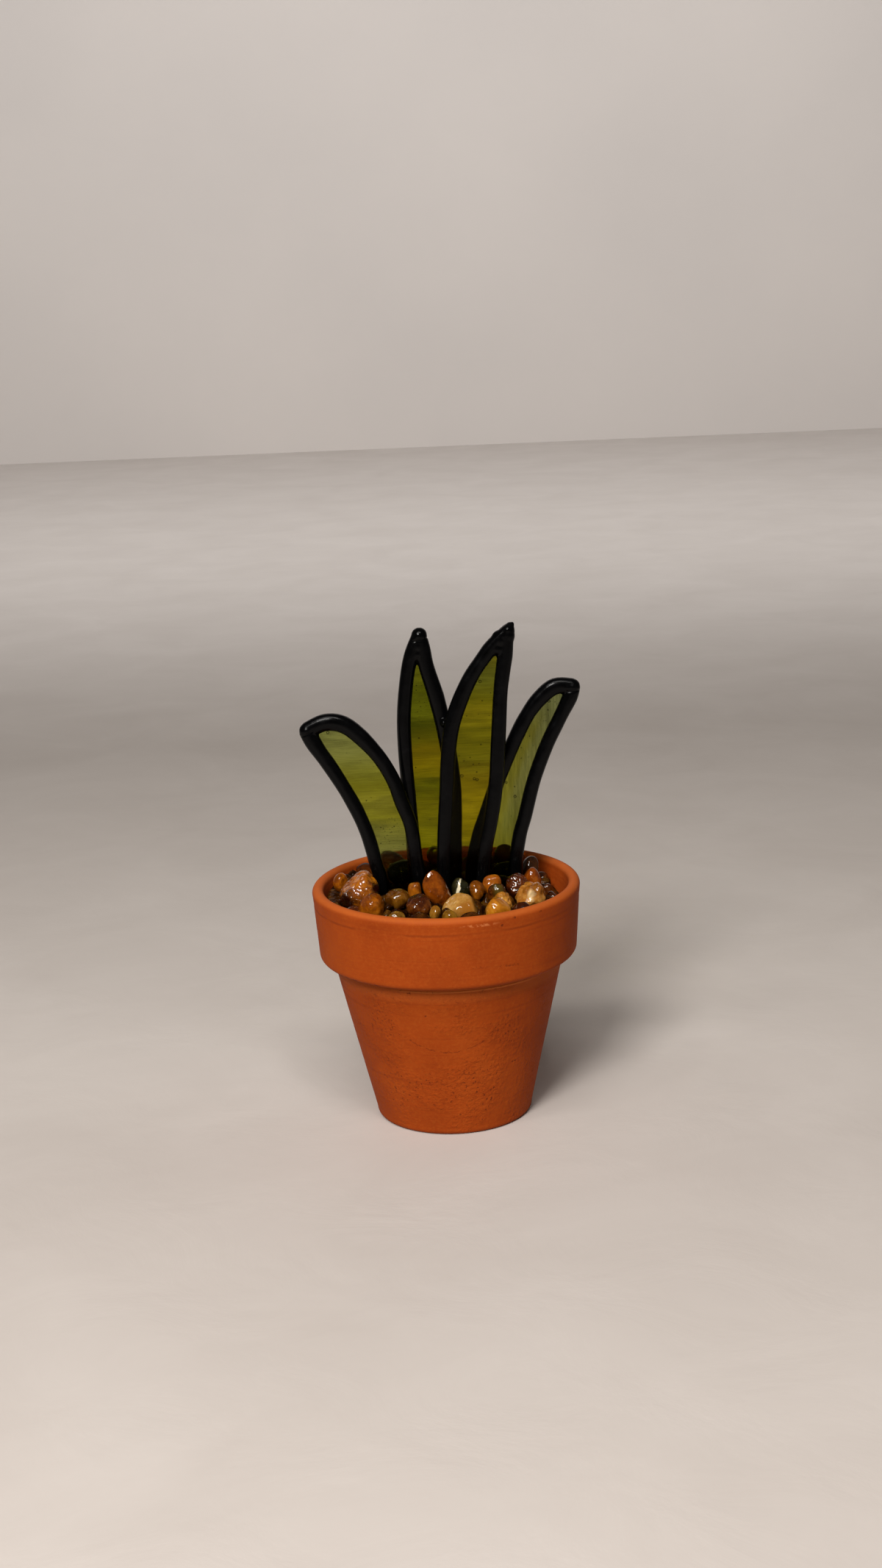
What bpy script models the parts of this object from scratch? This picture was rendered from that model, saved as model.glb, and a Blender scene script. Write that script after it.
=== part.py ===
"""A potted snake plant made in stained glass.

Four leaves of green glass, each edged with a bead of black solder, stand in the plaster fill of a
small clay pot. A bed of grit set in resin covers the plaster, and coated pebbles are set in the bed.

Units are metres. Z is up and the pot's axis is the Z axis, with its base at z = 0. The leaves stand
side by side along X, in two layers along Y.
"""
import math
import random

import bmesh
import bpy
from mathutils import Euler, Matrix, Vector, noise

MM = 0.001
GAP = 0.3 * MM

# Clay pot, a nominal three inch one
POT_HEIGHT = 71.0 * MM
RIM_RADIUS = 39.5 * MM
LIP_ROUND = 1.7 * MM
MOUTH_RADIUS = 36.1 * MM
BAND_BOTTOM = 49.5 * MM
BAND_BOTTOM_RADIUS = 38.2 * MM
BAND_EDGE_ROUND = 1.6 * MM
BODY_TOP_RADIUS = 34.3 * MM
BASE_RADIUS = 23.3 * MM
BASE_ROUND = 1.6 * MM
FLOOR = 5.0 * MM
FLOOR_RADIUS = 20.2 * MM
SHOULDER_TOP = 52.0 * MM
SHOULDER_TOP_RADIUS = 33.6 * MM
SHOULDER_BOTTOM = 46.0 * MM
SHOULDER_BOTTOM_RADIUS = 30.4 * MM
DRAIN_RADIUS = 4.0 * MM
POT_STEPS = 40

# What fills the pot
FILL_TOP = 56.0 * MM
BED_BOTTOM = FILL_TOP + GAP
BED_LEVEL = 67.4 * MM
BED_FALL = 0.03
BED_DIP_START = 27.0 * MM
BED_DIP = 0.35

# Leaves
GLASS = 3.0 * MM
BEAD_WIDTH = 3.9 * MM
BEAD_DEPTH = 4.6 * MM
SWELL_DEPTH = 4.9 * MM
BEAD_SIDES_LEVEL = 2
LAYER = 2.6 * MM
FRONT = -LAYER
BACK = LAYER
FOOT = 48.0 * MM
GLASS_FIT = 0.25 * MM
FOOT_OVERHANG = 1.7 * MM
STATIONS = 20
APEX_WIDTH = 1.5 * MM

# Pebbles
PEBBLE_GAP = 0.45 * MM
PEBBLE_LIMIT = 49
PEBBLE_TRIES = 2400
PEBBLE_ROUGHNESS = 0.05
SMALL_LIMIT = 46
SMALL_TRIES = 1500
GOLDEN = 0.6180339887
SEED = 7

# The beads' centre lines, from the foot to the tip, as x and z in millimetres
LEAVES = {
    "leaf_1": {
        "layer": FRONT,
        "left": [(-19.0, 48), (-19.0, 70), (-20.3, 78), (-22.4, 87), (-25.9, 96), (-31.5, 106.5),
                 (-36.0, 113.7), (-38.3, 118.4)],
        "right": [(-7.8, 48), (-7.8, 70), (-8.6, 80), (-9.5, 88.6), (-11.9, 96), (-14.2, 103),
                  (-18.1, 110.1), (-23.4, 116.4), (-28.0, 119.9), (-33.0, 120.6), (-38.3, 118.4)],
        "tip_radius": 2.3,
        "glass": (0.25, 0.24, 0.03),
    },
    "leaf_2": {
        "layer": BACK,
        "left": [(-9.1, 48), (-9.1, 70), (-9.2, 84), (-9.7, 95), (-10.3, 109.5), (-10.2, 120),
                 (-9.0, 130.6), (-7.4, 138), (-4.8, 144.0)],
        "right": [(2.6, 48), (2.6, 70), (3.1, 84), (3.4, 98), (1.9, 113), (-0.5, 125.4),
                  (-3.0, 134.5), (-3.9, 140), (-4.8, 144.0)],
        "tip_radius": 2.4,
        "glass": (0.22, 0.22, 0.01),
    },
    "leaf_3": {
        "layer": FRONT,
        "left": [(-0.5, 48), (-0.5, 70), (0.1, 84), (1.3, 98), (2.4, 111), (4.4, 120.6),
                 (8.9, 131), (14.1, 138.5), (17.3, 142.4), (20.6, 145.6)],
        "right": [(10.4, 48), (10.4, 68), (12.0, 81), (14.0, 90), (15.8, 101), (16.9, 113.8),
                  (18.0, 127.5), (19.6, 138), (20.6, 145.6)],
        "tip_radius": 2.25,
        "glass": (0.26, 0.24, 0.02),
    },
    "leaf_4": {
        "layer": BACK,
        "left": [(8.0, 48), (8.0, 71), (9.9, 81.9), (13.1, 91), (17.0, 101.5), (20.8, 110),
                 (25.3, 118.6), (29.4, 124), (34.0, 127.4), (39.1, 127.2)],
        "right": [(20.9, 48), (20.9, 72), (22.1, 82), (24.1, 89), (27.0, 99.6), (31.0, 109.9),
                  (35.4, 118.6), (38.2, 124), (39.1, 127.2)],
        "tip_radius": 2.25,
        "glass": (0.16, 0.20, 0.05),
    },
}

STONE_COLOURS = {
    "amber": (0.45, 0.19, 0.03),
    "russet": (0.30, 0.07, 0.015),
    "brown": (0.12, 0.04, 0.015),
    "wine": (0.09, 0.015, 0.01),
    "cream": (0.55, 0.36, 0.16),
    "slate": (0.05, 0.055, 0.045),
}

# Pebbles that show in the photo: place, size and turn (about Z, then lean about Y)
# x, y, z, length, width, height in millimetres, turn and lean in degrees
SHOWN_PEBBLES = [
    (-24.9, -10.7, 71.0, 14.8, 10.4, 12.4, -8, -6, "amber"),
    (-20.9, -22.0, 69.7, 8.6, 8.2, 9.8, 20, 0, "amber"),
    (-13.9, -15.3, 69.9, 8.0, 6.8, 6.8, 10, 8, "brown"),
    (-8.0, -24.1, 69.4, 8.4, 7.8, 8.0, 0, 0, "wine"),
    (-14.2, -27.8, 68.1, 6.0, 5.4, 5.4, 30, 0, "amber"),
    (-8.8, -10.0, 70.8, 4.8, 4.6, 7.2, 0, 0, "amber"),
    (-2.6, -13.3, 71.2, 7.8, 7.4, 15.2, 0, -23, "russet"),
    (4.0, -20.6, 69.2, 12.2, 9.0, 10.2, -14, -10, "cream"),
    (0.2, -29.5, 68.8, 4.6, 4.2, 4.8, 0, 0, "brown"),
    (-3.4, -28.0, 69.4, 3.6, 3.6, 4.6, 0, 0, "amber"),
    (4.4, -8.5, 70.5, 6.4, 5.4, 8.0, 10, -8, "slate"),
    (8.9, -11.6, 70.6, 5.0, 5.0, 7.2, 0, 0, "brown"),
    (14.3, -12.8, 70.0, 6.0, 5.2, 7.2, 0, 6, "brown"),
    (12.8, -26.0, 68.7, 8.6, 8.0, 8.8, 0, 0, "amber"),
    (16.2, -18.6, 68.9, 6.2, 5.4, 6.8, 25, 0, "amber"),
    (14.2, -7.6, 70.9, 6.2, 4.6, 7.8, 0, 6, "russet"),
    (20.2, -8.8, 70.8, 7.4, 6.4, 8.4, 15, 0, "wine"),
    (24.3, -15.6, 69.9, 10.2, 8.6, 9.6, 20, 10, "cream"),
    (21.6, -22.9, 67.9, 7.2, 5.8, 5.8, -20, 0, "wine"),
    (25.1, -3.9, 70.8, 6.0, 5.6, 8.8, 0, 0, "russet"),
    (25.6, 9.0, 70.4, 6.6, 6.2, 8.8, 0, 10, "brown"),
    (30.9, -8.0, 66.3, 4.8, 4.6, 5.0, 0, 0, "brown"),
    (29.8, -1.6, 66.8, 3.8, 4.2, 5.0, 0, 0, "brown"),
    (-31.2, 2.4, 70.9, 4.8, 4.8, 6.4, 0, 0, "amber"),
    (-24.6, 5.4, 70.6, 6.2, 5.4, 6.6, 30, 0, "amber"),
    (-26.9, -18.4, 67.9, 5.2, 5.0, 5.0, 0, 0, "wine"),
    (18.2, 26.4, 70.4, 7.2, 6.0, 8.4, 20, 0, "wine"),
    (-3.2, 27.6, 70.3, 7.4, 6.0, 7.4, -10, 0, "brown"),
    (-24.6, 13.6, 68.6, 7.4, 6.2, 5.6, 20, 0, "amber"),
    (28.8, 13.8, 66.2, 5.2, 4.8, 4.6, 0, 0, "brown"),
]


def link(obj, collection):
    """Put an object in one collection only."""
    for owner in list(obj.users_collection):
        owner.objects.unlink(obj)
    collection.objects.link(obj)
    return obj


def material(name, colour, roughness, metallic=0.0, transmission=0.0):
    found = bpy.data.materials.get(name)
    if found:
        return found
    made = bpy.data.materials.new(name)
    made.use_nodes = True
    shader = made.node_tree.nodes["Principled BSDF"]
    shader.inputs["Base Color"].default_value = (*colour, 1.0)
    shader.inputs["Roughness"].default_value = roughness
    shader.inputs["Metallic"].default_value = metallic
    shader.inputs["Transmission Weight"].default_value = transmission
    return made


def mesh_object(name, mesh, collection):
    obj = bpy.data.objects.new(name, mesh)
    collection.objects.link(obj)
    return obj


def arc(centre, radius, start, end, count):
    """Points of an arc in the XZ plane, angles in degrees."""
    points = []
    for step in range(count + 1):
        angle = math.radians(start + (end - start) * step / count)
        points.append((centre[0] + radius * math.cos(angle), centre[1] + radius * math.sin(angle)))
    return points


def turned(name, profile, collection):
    """A profile of (radius, z) points turned about the Z axis."""
    mesh = bpy.data.meshes.new(name)
    vertices = [(radius, 0.0, z) for radius, z in profile]
    edges = [(i, i + 1) for i in range(len(profile) - 1)]
    if profile[0][0] > 0:
        edges.append((len(profile) - 1, 0))
    mesh.from_pydata(vertices, edges, [])
    obj = mesh_object(name, mesh, collection)
    screw = obj.modifiers.new("turn", "SCREW")
    screw.steps = POT_STEPS
    screw.render_steps = POT_STEPS
    screw.use_merge_vertices = True
    screw.merge_threshold = 0.00001
    return obj


def made_real(obj):
    """Replace an object's mesh or curve with its evaluated mesh, its place kept in the object."""
    depsgraph = bpy.context.evaluated_depsgraph_get()
    mesh = bpy.data.meshes.new_from_object(obj.evaluated_get(depsgraph))
    bm = bmesh.new()
    bm.from_mesh(mesh)
    bmesh.ops.remove_doubles(bm, verts=bm.verts, dist=0.000001)
    bmesh.ops.recalc_face_normals(bm, faces=bm.faces)
    bm.to_mesh(mesh)
    bm.free()
    name = obj.name
    collection = obj.users_collection[0]
    place = obj.matrix_world.copy()
    bpy.data.objects.remove(obj)
    real = mesh_object(name, mesh, collection)
    real.matrix_world = place
    return real


def joined(target, others):
    """Boolean union of the target with a list of objects, which are then removed."""
    group = bpy.data.collections.new("join_group")
    for other in others:
        link(other, group)
    union = target.modifiers.new("join", "BOOLEAN")
    union.operation = "UNION"
    union.solver = "EXACT"
    union.operand_type = "COLLECTION"
    union.collection = group
    result = made_real(target)
    for other in others:
        bpy.data.objects.remove(other)
    bpy.data.collections.remove(group)
    return result


def cut(target, cutters):
    """Boolean difference of the target and a list of objects, which are then removed."""
    group = bpy.data.collections.new("cut_group")
    for cutter in cutters:
        link(cutter, group)
    difference = target.modifiers.new("cut", "BOOLEAN")
    difference.operation = "DIFFERENCE"
    difference.solver = "EXACT"
    difference.operand_type = "COLLECTION"
    difference.collection = group
    result = made_real(target)
    for cutter in cutters:
        bpy.data.objects.remove(cutter)
    bpy.data.collections.remove(group)
    return result


def smooth(obj, angle=40):
    obj.data.shade_smooth()
    obj.data.set_sharp_from_angle(angle=math.radians(angle))


def wall_radius(z):
    """Inner radius of the pot's wall at a height."""
    if z >= SHOULDER_TOP:
        low, high = (SHOULDER_TOP, SHOULDER_TOP_RADIUS), (POT_HEIGHT, MOUTH_RADIUS)
    elif z >= SHOULDER_BOTTOM:
        low, high = (SHOULDER_BOTTOM, SHOULDER_BOTTOM_RADIUS), (SHOULDER_TOP, SHOULDER_TOP_RADIUS)
    else:
        low, high = (FLOOR, FLOOR_RADIUS), (SHOULDER_BOTTOM, SHOULDER_BOTTOM_RADIUS)
    share = (z - low[0]) / (high[0] - low[0])
    return low[1] + share * (high[1] - low[1])


def make_pot(collection):
    """Thrown clay pot: tapered body, thicker band with a rounded lip, drain hole in the floor."""
    lip_out = arc((RIM_RADIUS - LIP_ROUND, POT_HEIGHT - LIP_ROUND), LIP_ROUND, 90, 0, 3)
    band_edge = arc(
        (BAND_BOTTOM_RADIUS - BAND_EDGE_ROUND, BAND_BOTTOM + BAND_EDGE_ROUND), BAND_EDGE_ROUND, 0, -90, 2
    )
    base_edge = arc((BASE_RADIUS - BASE_ROUND, BASE_ROUND), BASE_ROUND, 0, -90, 2)
    lip_in = arc((MOUTH_RADIUS + LIP_ROUND, POT_HEIGHT - LIP_ROUND), LIP_ROUND, 180, 90, 3)
    profile = lip_out + band_edge + [(BODY_TOP_RADIUS, BAND_BOTTOM)] + base_edge
    profile += [(DRAIN_RADIUS, 0.0), (DRAIN_RADIUS, FLOOR), (FLOOR_RADIUS, FLOOR)]
    profile += [(SHOULDER_BOTTOM_RADIUS, SHOULDER_BOTTOM), (SHOULDER_TOP_RADIUS, SHOULDER_TOP)]
    profile += lip_in[:-1]
    pot = turned("pot", profile, collection)
    pot.data.materials.append(material("clay", (0.36, 0.10, 0.03), 0.85))
    pot = made_real(pot)
    smooth(pot, 35)
    return pot


def slot_boxes(bottom, top, collection):
    """One box for each leaf's foot, clear of its bead all round."""
    boxes = []
    for name, leaf in LEAVES.items():
        low = leaf["left"][0][0] * MM - BEAD_WIDTH / 2 - GAP
        high = leaf["right"][0][0] * MM + BEAD_WIDTH / 2 + GAP
        bm = bmesh.new()
        bmesh.ops.create_cube(bm, size=1.0)
        mesh = bpy.data.meshes.new(name + "_slot")
        bm.to_mesh(mesh)
        bm.free()
        size = Matrix.Diagonal((high - low, SWELL_DEPTH + 2 * GAP, top - bottom, 1))
        middle = Vector(((low + high) / 2, leaf["layer"], (top + bottom) / 2))
        mesh.transform(Matrix.Translation(middle) @ size)
        boxes.append(mesh_object(name + "_slot", mesh, collection))
    return boxes


def make_fill(collection):
    """Plaster that fills the pot up to the bed and holds the feet of the leaves."""
    profile = [(0.0, FILL_TOP), (wall_radius(FILL_TOP) - GAP, FILL_TOP)]
    profile += [(SHOULDER_TOP_RADIUS - GAP, SHOULDER_TOP), (SHOULDER_BOTTOM_RADIUS - GAP, SHOULDER_BOTTOM)]
    profile += [(FLOOR_RADIUS - GAP, FLOOR + GAP), (0.0, FLOOR + GAP)]
    fill = turned("plaster_fill", profile, collection)
    fill = made_real(fill)
    slots = slot_boxes(FOOT - GAP, FILL_TOP + 5 * MM, collection)
    fill = cut(fill, slots)
    fill.data.materials.append(material("plaster", (0.62, 0.60, 0.55), 0.9))
    return fill


def bed_height(x):
    """The bed's level: it falls a little to the right, and more at the right wall."""
    return BED_LEVEL - BED_FALL * x - BED_DIP * max(0.0, x - BED_DIP_START)


def make_bed(pebbles, small, collection):
    """Grit and small stones set in resin, with a socket for each pebble and slots for the leaves."""
    edge = wall_radius(BED_LEVEL) - GAP
    profile = [(0.0, BED_LEVEL), (BED_DIP_START, BED_LEVEL), (edge, BED_LEVEL)]
    profile += [(wall_radius(BED_BOTTOM) - GAP, BED_BOTTOM), (0.0, BED_BOTTOM)]
    bed = made_real(turned("grit_bed", profile, collection))
    for vertex in bed.data.vertices:
        if vertex.co.z > BED_LEVEL - MM:
            radius = vertex.co.xy.length
            vertex.co.z = bed_height(vertex.co.x)
            if radius > edge - MM:
                vertex.co.xy *= (wall_radius(vertex.co.z) - GAP) / radius
    bed = joined(bed, small)
    sockets = []
    for pebble in pebbles:
        mesh = pebble.data.copy()
        for vertex, direction in zip(mesh.vertices, [v.normal.copy() for v in pebble.data.vertices]):
            vertex.co += direction * GAP * 1.1
        socket = mesh_object(pebble.name + "_socket", mesh, collection)
        socket.matrix_world = pebble.matrix_world
        sockets.append(socket)
    bed = cut(bed, sockets)
    bed = cut(bed, slot_boxes(BED_BOTTOM - 2 * MM, POT_HEIGHT + 10 * MM, collection))
    bed = largest_body(bed)
    bed.data.materials.clear()
    bed.data.materials.append(material("grit", (0.09, 0.045, 0.02), 0.3))
    return bed


def largest_body(obj):
    """Drop loose scraps that the cuts left, and keep the largest body."""
    bm = bmesh.new()
    bm.from_mesh(obj.data)
    unseen = set(bm.verts)
    bodies = []
    while unseen:
        stack = [unseen.pop()]
        body = set(stack)
        while stack:
            for edge in stack.pop().link_edges:
                for vertex in edge.verts:
                    if vertex in unseen:
                        unseen.remove(vertex)
                        body.add(vertex)
                        stack.append(vertex)
        bodies.append(body)
    bodies.sort(key=len)
    for body in bodies[:-1]:
        bmesh.ops.delete(bm, geom=list(body), context="VERTS")
    bm.to_mesh(obj.data)
    bm.free()
    return obj


def smooth_line(points, count):
    """Even stations along a Catmull-Rom curve through the points, in metres."""
    dense = []
    padded = [points[0]] + list(points) + [points[-1]]
    for i in range(1, len(padded) - 2):
        before, start, end, after = (Vector(padded[i + k]) * MM for k in (-1, 0, 1, 2))
        for step in range(12):
            t = step / 12
            dense.append(
                0.5 * (2 * start + (end - before) * t + (2 * before - 5 * start + 4 * end - after) * t ** 2
                       + (3 * start - before - 3 * end + after) * t ** 3)
            )
    dense.append(Vector(points[-1]) * MM)
    lengths = [0.0]
    for a, b in zip(dense, dense[1:]):
        lengths.append(lengths[-1] + (b - a).length)
    stations = []
    k = 0
    for i in range(count):
        wanted = lengths[-1] * i / (count - 1)
        while k < len(dense) - 2 and lengths[k + 1] < wanted:
            k += 1
        share = (wanted - lengths[k]) / (lengths[k + 1] - lengths[k])
        stations.append(dense[k].lerp(dense[k + 1], share))
    return stations


def bead_tube(name, stations, radius, depth, layer, collection):
    """A solder bead along stations in the XZ plane, with its own depth along Y."""
    curve = bpy.data.curves.new(name, "CURVE")
    curve.dimensions = "3D"
    curve.bevel_depth = radius
    curve.bevel_resolution = BEAD_SIDES_LEVEL
    curve.use_fill_caps = True
    spline = curve.splines.new("POLY")
    spline.points.add(len(stations) - 1)
    for point, station in zip(spline.points, stations):
        point.co = (station.x, 0.0, station.y, 1.0)
    tube = made_real(mesh_object(name, curve, collection))
    tube.data.transform(Matrix.Translation((0, layer, 0)) @ Matrix.Diagonal((1, depth / (2 * radius), 1, 1)))
    return tube


def outline(leaf, grow):
    """The pane's outline, moved outwards by grow, from the left foot over the tip to the right foot."""
    left = smooth_line(leaf["left"], STATIONS)
    right = smooth_line(leaf["right"], STATIONS)
    sides = []
    for line, side in ((left, 1), (right, -1)):
        moved = []
        for i, point in enumerate(line):
            along = (line[min(i + 1, STATIONS - 1)] - line[max(i - 1, 0)]).normalized()
            moved.append((point, point + Vector((-along.y, along.x)) * side * grow))
        sides.append(moved)
    tip = left[-1]
    left_points = [moved for point, moved in sides[0] if (point - tip).length > APEX_WIDTH]
    right_points = [moved for point, moved in sides[1] if (point - tip).length > APEX_WIDTH]
    points = left_points + right_points[::-1]
    points[0].y = points[-1].y = FOOT + BEAD_WIDTH / 2 - grow
    return points


def pane_solid(name, leaf, grow, thickness, collection):
    curve = bpy.data.curves.new(name, "CURVE")
    curve.dimensions = "2D"
    curve.fill_mode = "BOTH"
    curve.extrude = thickness / 2
    points = outline(leaf, grow)
    spline = curve.splines.new("POLY")
    spline.points.add(len(points) - 1)
    for spline_point, point in zip(spline.points, points):
        spline_point.co = (point.x, point.y, 0.0, 1.0)
    spline.use_cyclic_u = True
    flat = made_real(mesh_object(name, curve, collection))
    flat.data.transform(Matrix.Translation((0, leaf["layer"], 0)) @ Matrix.Rotation(math.pi / 2, 4, "X"))
    return flat


def ball(name, centre, radius, collection):
    bm = bmesh.new()
    bmesh.ops.create_uvsphere(bm, u_segments=12, v_segments=9, radius=radius)
    mesh = bpy.data.meshes.new(name)
    bm.to_mesh(mesh)
    bm.free()
    mesh.transform(Matrix.Translation(centre) @ Matrix.Diagonal((1, SWELL_DEPTH / (2 * radius), 1, 1)))
    return mesh_object(name, mesh, collection)


def make_leaf(name, leaf, collection):
    """A glass pane, and the bead of solder round it that grips its edge."""
    pane = pane_solid(name + "_pane", leaf, 0.0, GLASS, collection)
    pane.data.materials.append(material(name + "_glass", leaf["glass"], 0.08, transmission=0.9))
    left = smooth_line(leaf["left"], STATIONS)
    right = smooth_line(leaf["right"], STATIONS)
    left[0].y = right[0].y = FOOT + BEAD_WIDTH / 2
    foot = [left[0] - Vector((FOOT_OVERHANG, 0)), right[0] + Vector((FOOT_OVERHANG, 0))]
    radius = BEAD_WIDTH / 2
    frame = bead_tube(name + "_solder", left, radius, BEAD_DEPTH, leaf["layer"], collection)
    tip = Vector((left[-1].x, leaf["layer"], left[-1].y))
    others = [
        bead_tube(name + "_right", right, radius, BEAD_DEPTH, leaf["layer"], collection),
        bead_tube(name + "_foot", foot, radius * 1.1, SWELL_DEPTH, leaf["layer"], collection),
        ball(name + "_tip", tip, leaf["tip_radius"] * MM, collection),
    ]
    frame = joined(frame, others)
    slot = pane_solid(name + "_slot", leaf, GLASS_FIT, GLASS + 2 * GLASS_FIT, collection)
    frame = cut(frame, [slot])
    frame = largest_body(frame)
    frame.data.materials.append(material("black_solder", (0.006, 0.006, 0.007), 0.3, metallic=0.6))
    smooth(frame, 50)
    return pane, frame


class Pebble:
    """An ellipsoid's place, half sizes and turn, with the colour of its stone."""

    def __init__(self, place, halves, turn, lean, kind):
        self.place = Vector(place)
        self.halves = Vector(halves)
        self.rotation = Euler((0.0, lean, turn)).to_matrix()
        self.kind = kind

    def reach(self, direction):
        """Half the pebble's extent along a unit direction."""
        local = self.rotation.transposed() @ direction
        return Vector((local.x * self.halves.x, local.y * self.halves.y, local.z * self.halves.z)).length


def pushed_apart(pebbles, moves):
    """Move pebbles apart, off the wall and off the leaves, until none of them touch."""
    for _ in range(moves):
        for i, first in enumerate(pebbles):
            for second in pebbles[i + 1:]:
                between = second.place - first.place
                direction = between.normalized()
                need = first.reach(direction) + second.reach(direction) + PEBBLE_GAP
                if between.length < need:
                    shift = direction * (need - between.length) / 2
                    first.place -= shift
                    second.place += shift
        for pebble in pebbles:
            flat = Vector((pebble.place.x, pebble.place.y, 0.0))
            outward = flat.normalized()
            limit = wall_radius(pebble.place.z - pebble.halves.z * 0.5) - pebble.reach(outward) - PEBBLE_GAP
            if flat.length > limit:
                pebble.place -= outward * (flat.length - limit)
            hold_off_leaves(pebble)


def hold_off_leaves(pebble):
    """Keep a pebble in front of, behind or beside the leaves of each layer."""
    side = pebble.reach(Vector((1, 0, 0))) + PEBBLE_GAP
    depth = pebble.reach(Vector((0, 1, 0))) + PEBBLE_GAP
    for leaf in LEAVES.values():
        low = leaf["left"][1][0] * MM - BEAD_WIDTH / 2 - 1.2 * MM - side
        high = leaf["right"][1][0] * MM + BEAD_WIDTH / 2 + 1.2 * MM + side
        near = leaf["layer"] - BEAD_DEPTH / 2 - depth
        far = leaf["layer"] + BEAD_DEPTH / 2 + depth
        if not (low < pebble.place.x < high and near < pebble.place.y < far):
            continue
        escapes = [
            (pebble.place.x - low, Vector((-1, 0, 0))),
            (high - pebble.place.x, Vector((1, 0, 0))),
        ]
        if pebble.place.y < 0:
            escapes.append((pebble.place.y - near, Vector((0, -1, 0))))
        else:
            escapes.append((far - pebble.place.y, Vector((0, 1, 0))))
        distance, direction = min(escapes, key=lambda escape: escape[0])
        pebble.place += direction * distance


def spread(step, radius):
    """The place of one step of an even spread over a disc."""
    out = radius * math.sqrt(step * GOLDEN % 1)
    angle = step * GOLDEN * math.tau * 1.7
    return Vector((out * math.cos(angle), out * math.sin(angle), 0.0))


def scattered(pebbles):
    """Fill the bare ground with more pebbles, the larger ones first."""
    draw = random.Random(SEED)
    kinds = ["amber", "russet", "brown", "wine", "amber", "slate", "brown", "amber"]
    for step in range(PEBBLE_TRIES):
        if len(pebbles) == PEBBLE_LIMIT:
            break
        length = (10.8 - 5.2 * step / PEBBLE_TRIES + draw.uniform(-0.8, 0.8)) * MM
        halves = Vector((length / 2, length * draw.uniform(0.38, 0.46), length * draw.uniform(0.34, 0.42)))
        place = spread(step, 33.0 * MM)
        place.z = bed_height(place.x) + halves.z * draw.uniform(-0.1, 0.35)
        turn = draw.uniform(0, math.pi)
        lean = draw.uniform(-0.3, 0.3)
        kind = kinds[draw.randrange(len(kinds))]
        candidate = Pebble(place, halves, turn, lean, kind)
        if is_free(candidate, pebbles, 0.86):
            pebbles.append(candidate)


def is_free(candidate, pebbles, closeness):
    """Whether a pebble fits inside the wall, off the leaves and among the others."""
    outward = Vector((candidate.place.x, candidate.place.y, 0.0))
    if outward.length + candidate.reach(outward.normalized()) > wall_radius(BED_LEVEL) - PEBBLE_GAP:
        return False
    if abs(candidate.place.y) - candidate.reach(Vector((0, 1, 0))) < LAYER + SWELL_DEPTH / 2 + PEBBLE_GAP:
        return False
    for other in pebbles:
        between = other.place - candidate.place
        direction = between.normalized()
        if between.length < (candidate.reach(direction) + other.reach(direction)) * closeness:
            return False
    return True


def small_stones(pebbles, collection):
    """Half-sunk stones of the layer below, which show between the pebbles."""
    draw = random.Random(SEED + 1)
    placed = []
    for step in range(SMALL_TRIES):
        if len(placed) == SMALL_LIMIT:
            break
        radius = (3.1 - 1.5 * step / SMALL_TRIES) * MM
        place = spread(step, 34.0 * MM)
        place.z = bed_height(place.x) + radius * 0.25
        halves = Vector((radius, radius * draw.uniform(0.75, 0.95), radius * draw.uniform(0.75, 0.95)))
        candidate = Pebble(place, halves, draw.uniform(0, math.pi), 0.0, "brown")
        if is_free(candidate, placed, 1.05) and is_free(candidate, pebbles, 0.7):
            placed.append(candidate)
    return [make_pebble(100 + i, stone, 1, collection) for i, stone in enumerate(placed)]


def make_pebble(number, pebble, roundness, collection):
    """A river pebble: an ellipsoid whose surface swells and sinks a little."""
    name = f"pebble_{number:02d}"
    bm = bmesh.new()
    bmesh.ops.create_icosphere(bm, subdivisions=roundness, radius=1.0)
    offset = Vector((number * 3.1, number * 1.7, 0.0))
    for vertex in bm.verts:
        swell = 1 + PEBBLE_ROUGHNESS * noise.noise(vertex.co * 1.3 + offset)
        vertex.co = Vector((vertex.co[k] * pebble.halves[k] * swell for k in range(3)))
    mesh = bpy.data.meshes.new(name)
    bm.to_mesh(mesh)
    bm.free()
    mesh.shade_smooth()
    obj = mesh_object(name, mesh, collection)
    obj.matrix_world = Matrix.Translation(pebble.place) @ pebble.rotation.to_4x4()
    obj.data.materials.append(material("stone_" + pebble.kind, STONE_COLOURS[pebble.kind], 0.15))
    return obj


def main():
    for obj in list(bpy.data.objects):
        bpy.data.objects.remove(obj)
    parts = bpy.data.collections.new("stained_glass_snake_plant")
    bpy.context.scene.collection.children.link(parts)

    make_pot(parts)
    make_fill(parts)
    for name, leaf in LEAVES.items():
        make_leaf(name, leaf, parts)

    pebbles = []
    for x, y, z, length, width, height, turn, lean, kind in SHOWN_PEBBLES:
        halves = Vector((length, width, height)) * MM / 2
        place = Vector((x, y, z)) * MM
        pebbles.append(Pebble(place, halves, math.radians(turn), math.radians(lean), kind))
    pushed_apart(pebbles, 30)
    scattered(pebbles)
    pushed_apart(pebbles, 60)
    stones = [make_pebble(i + 1, pebble, 2, parts) for i, pebble in enumerate(pebbles)]
    bpy.context.view_layer.update()
    make_bed(stones, small_stones(pebbles, parts), parts)


main()
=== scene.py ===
import math
import random

import bmesh
import bpy
from mathutils import Matrix, Vector, noise


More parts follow.
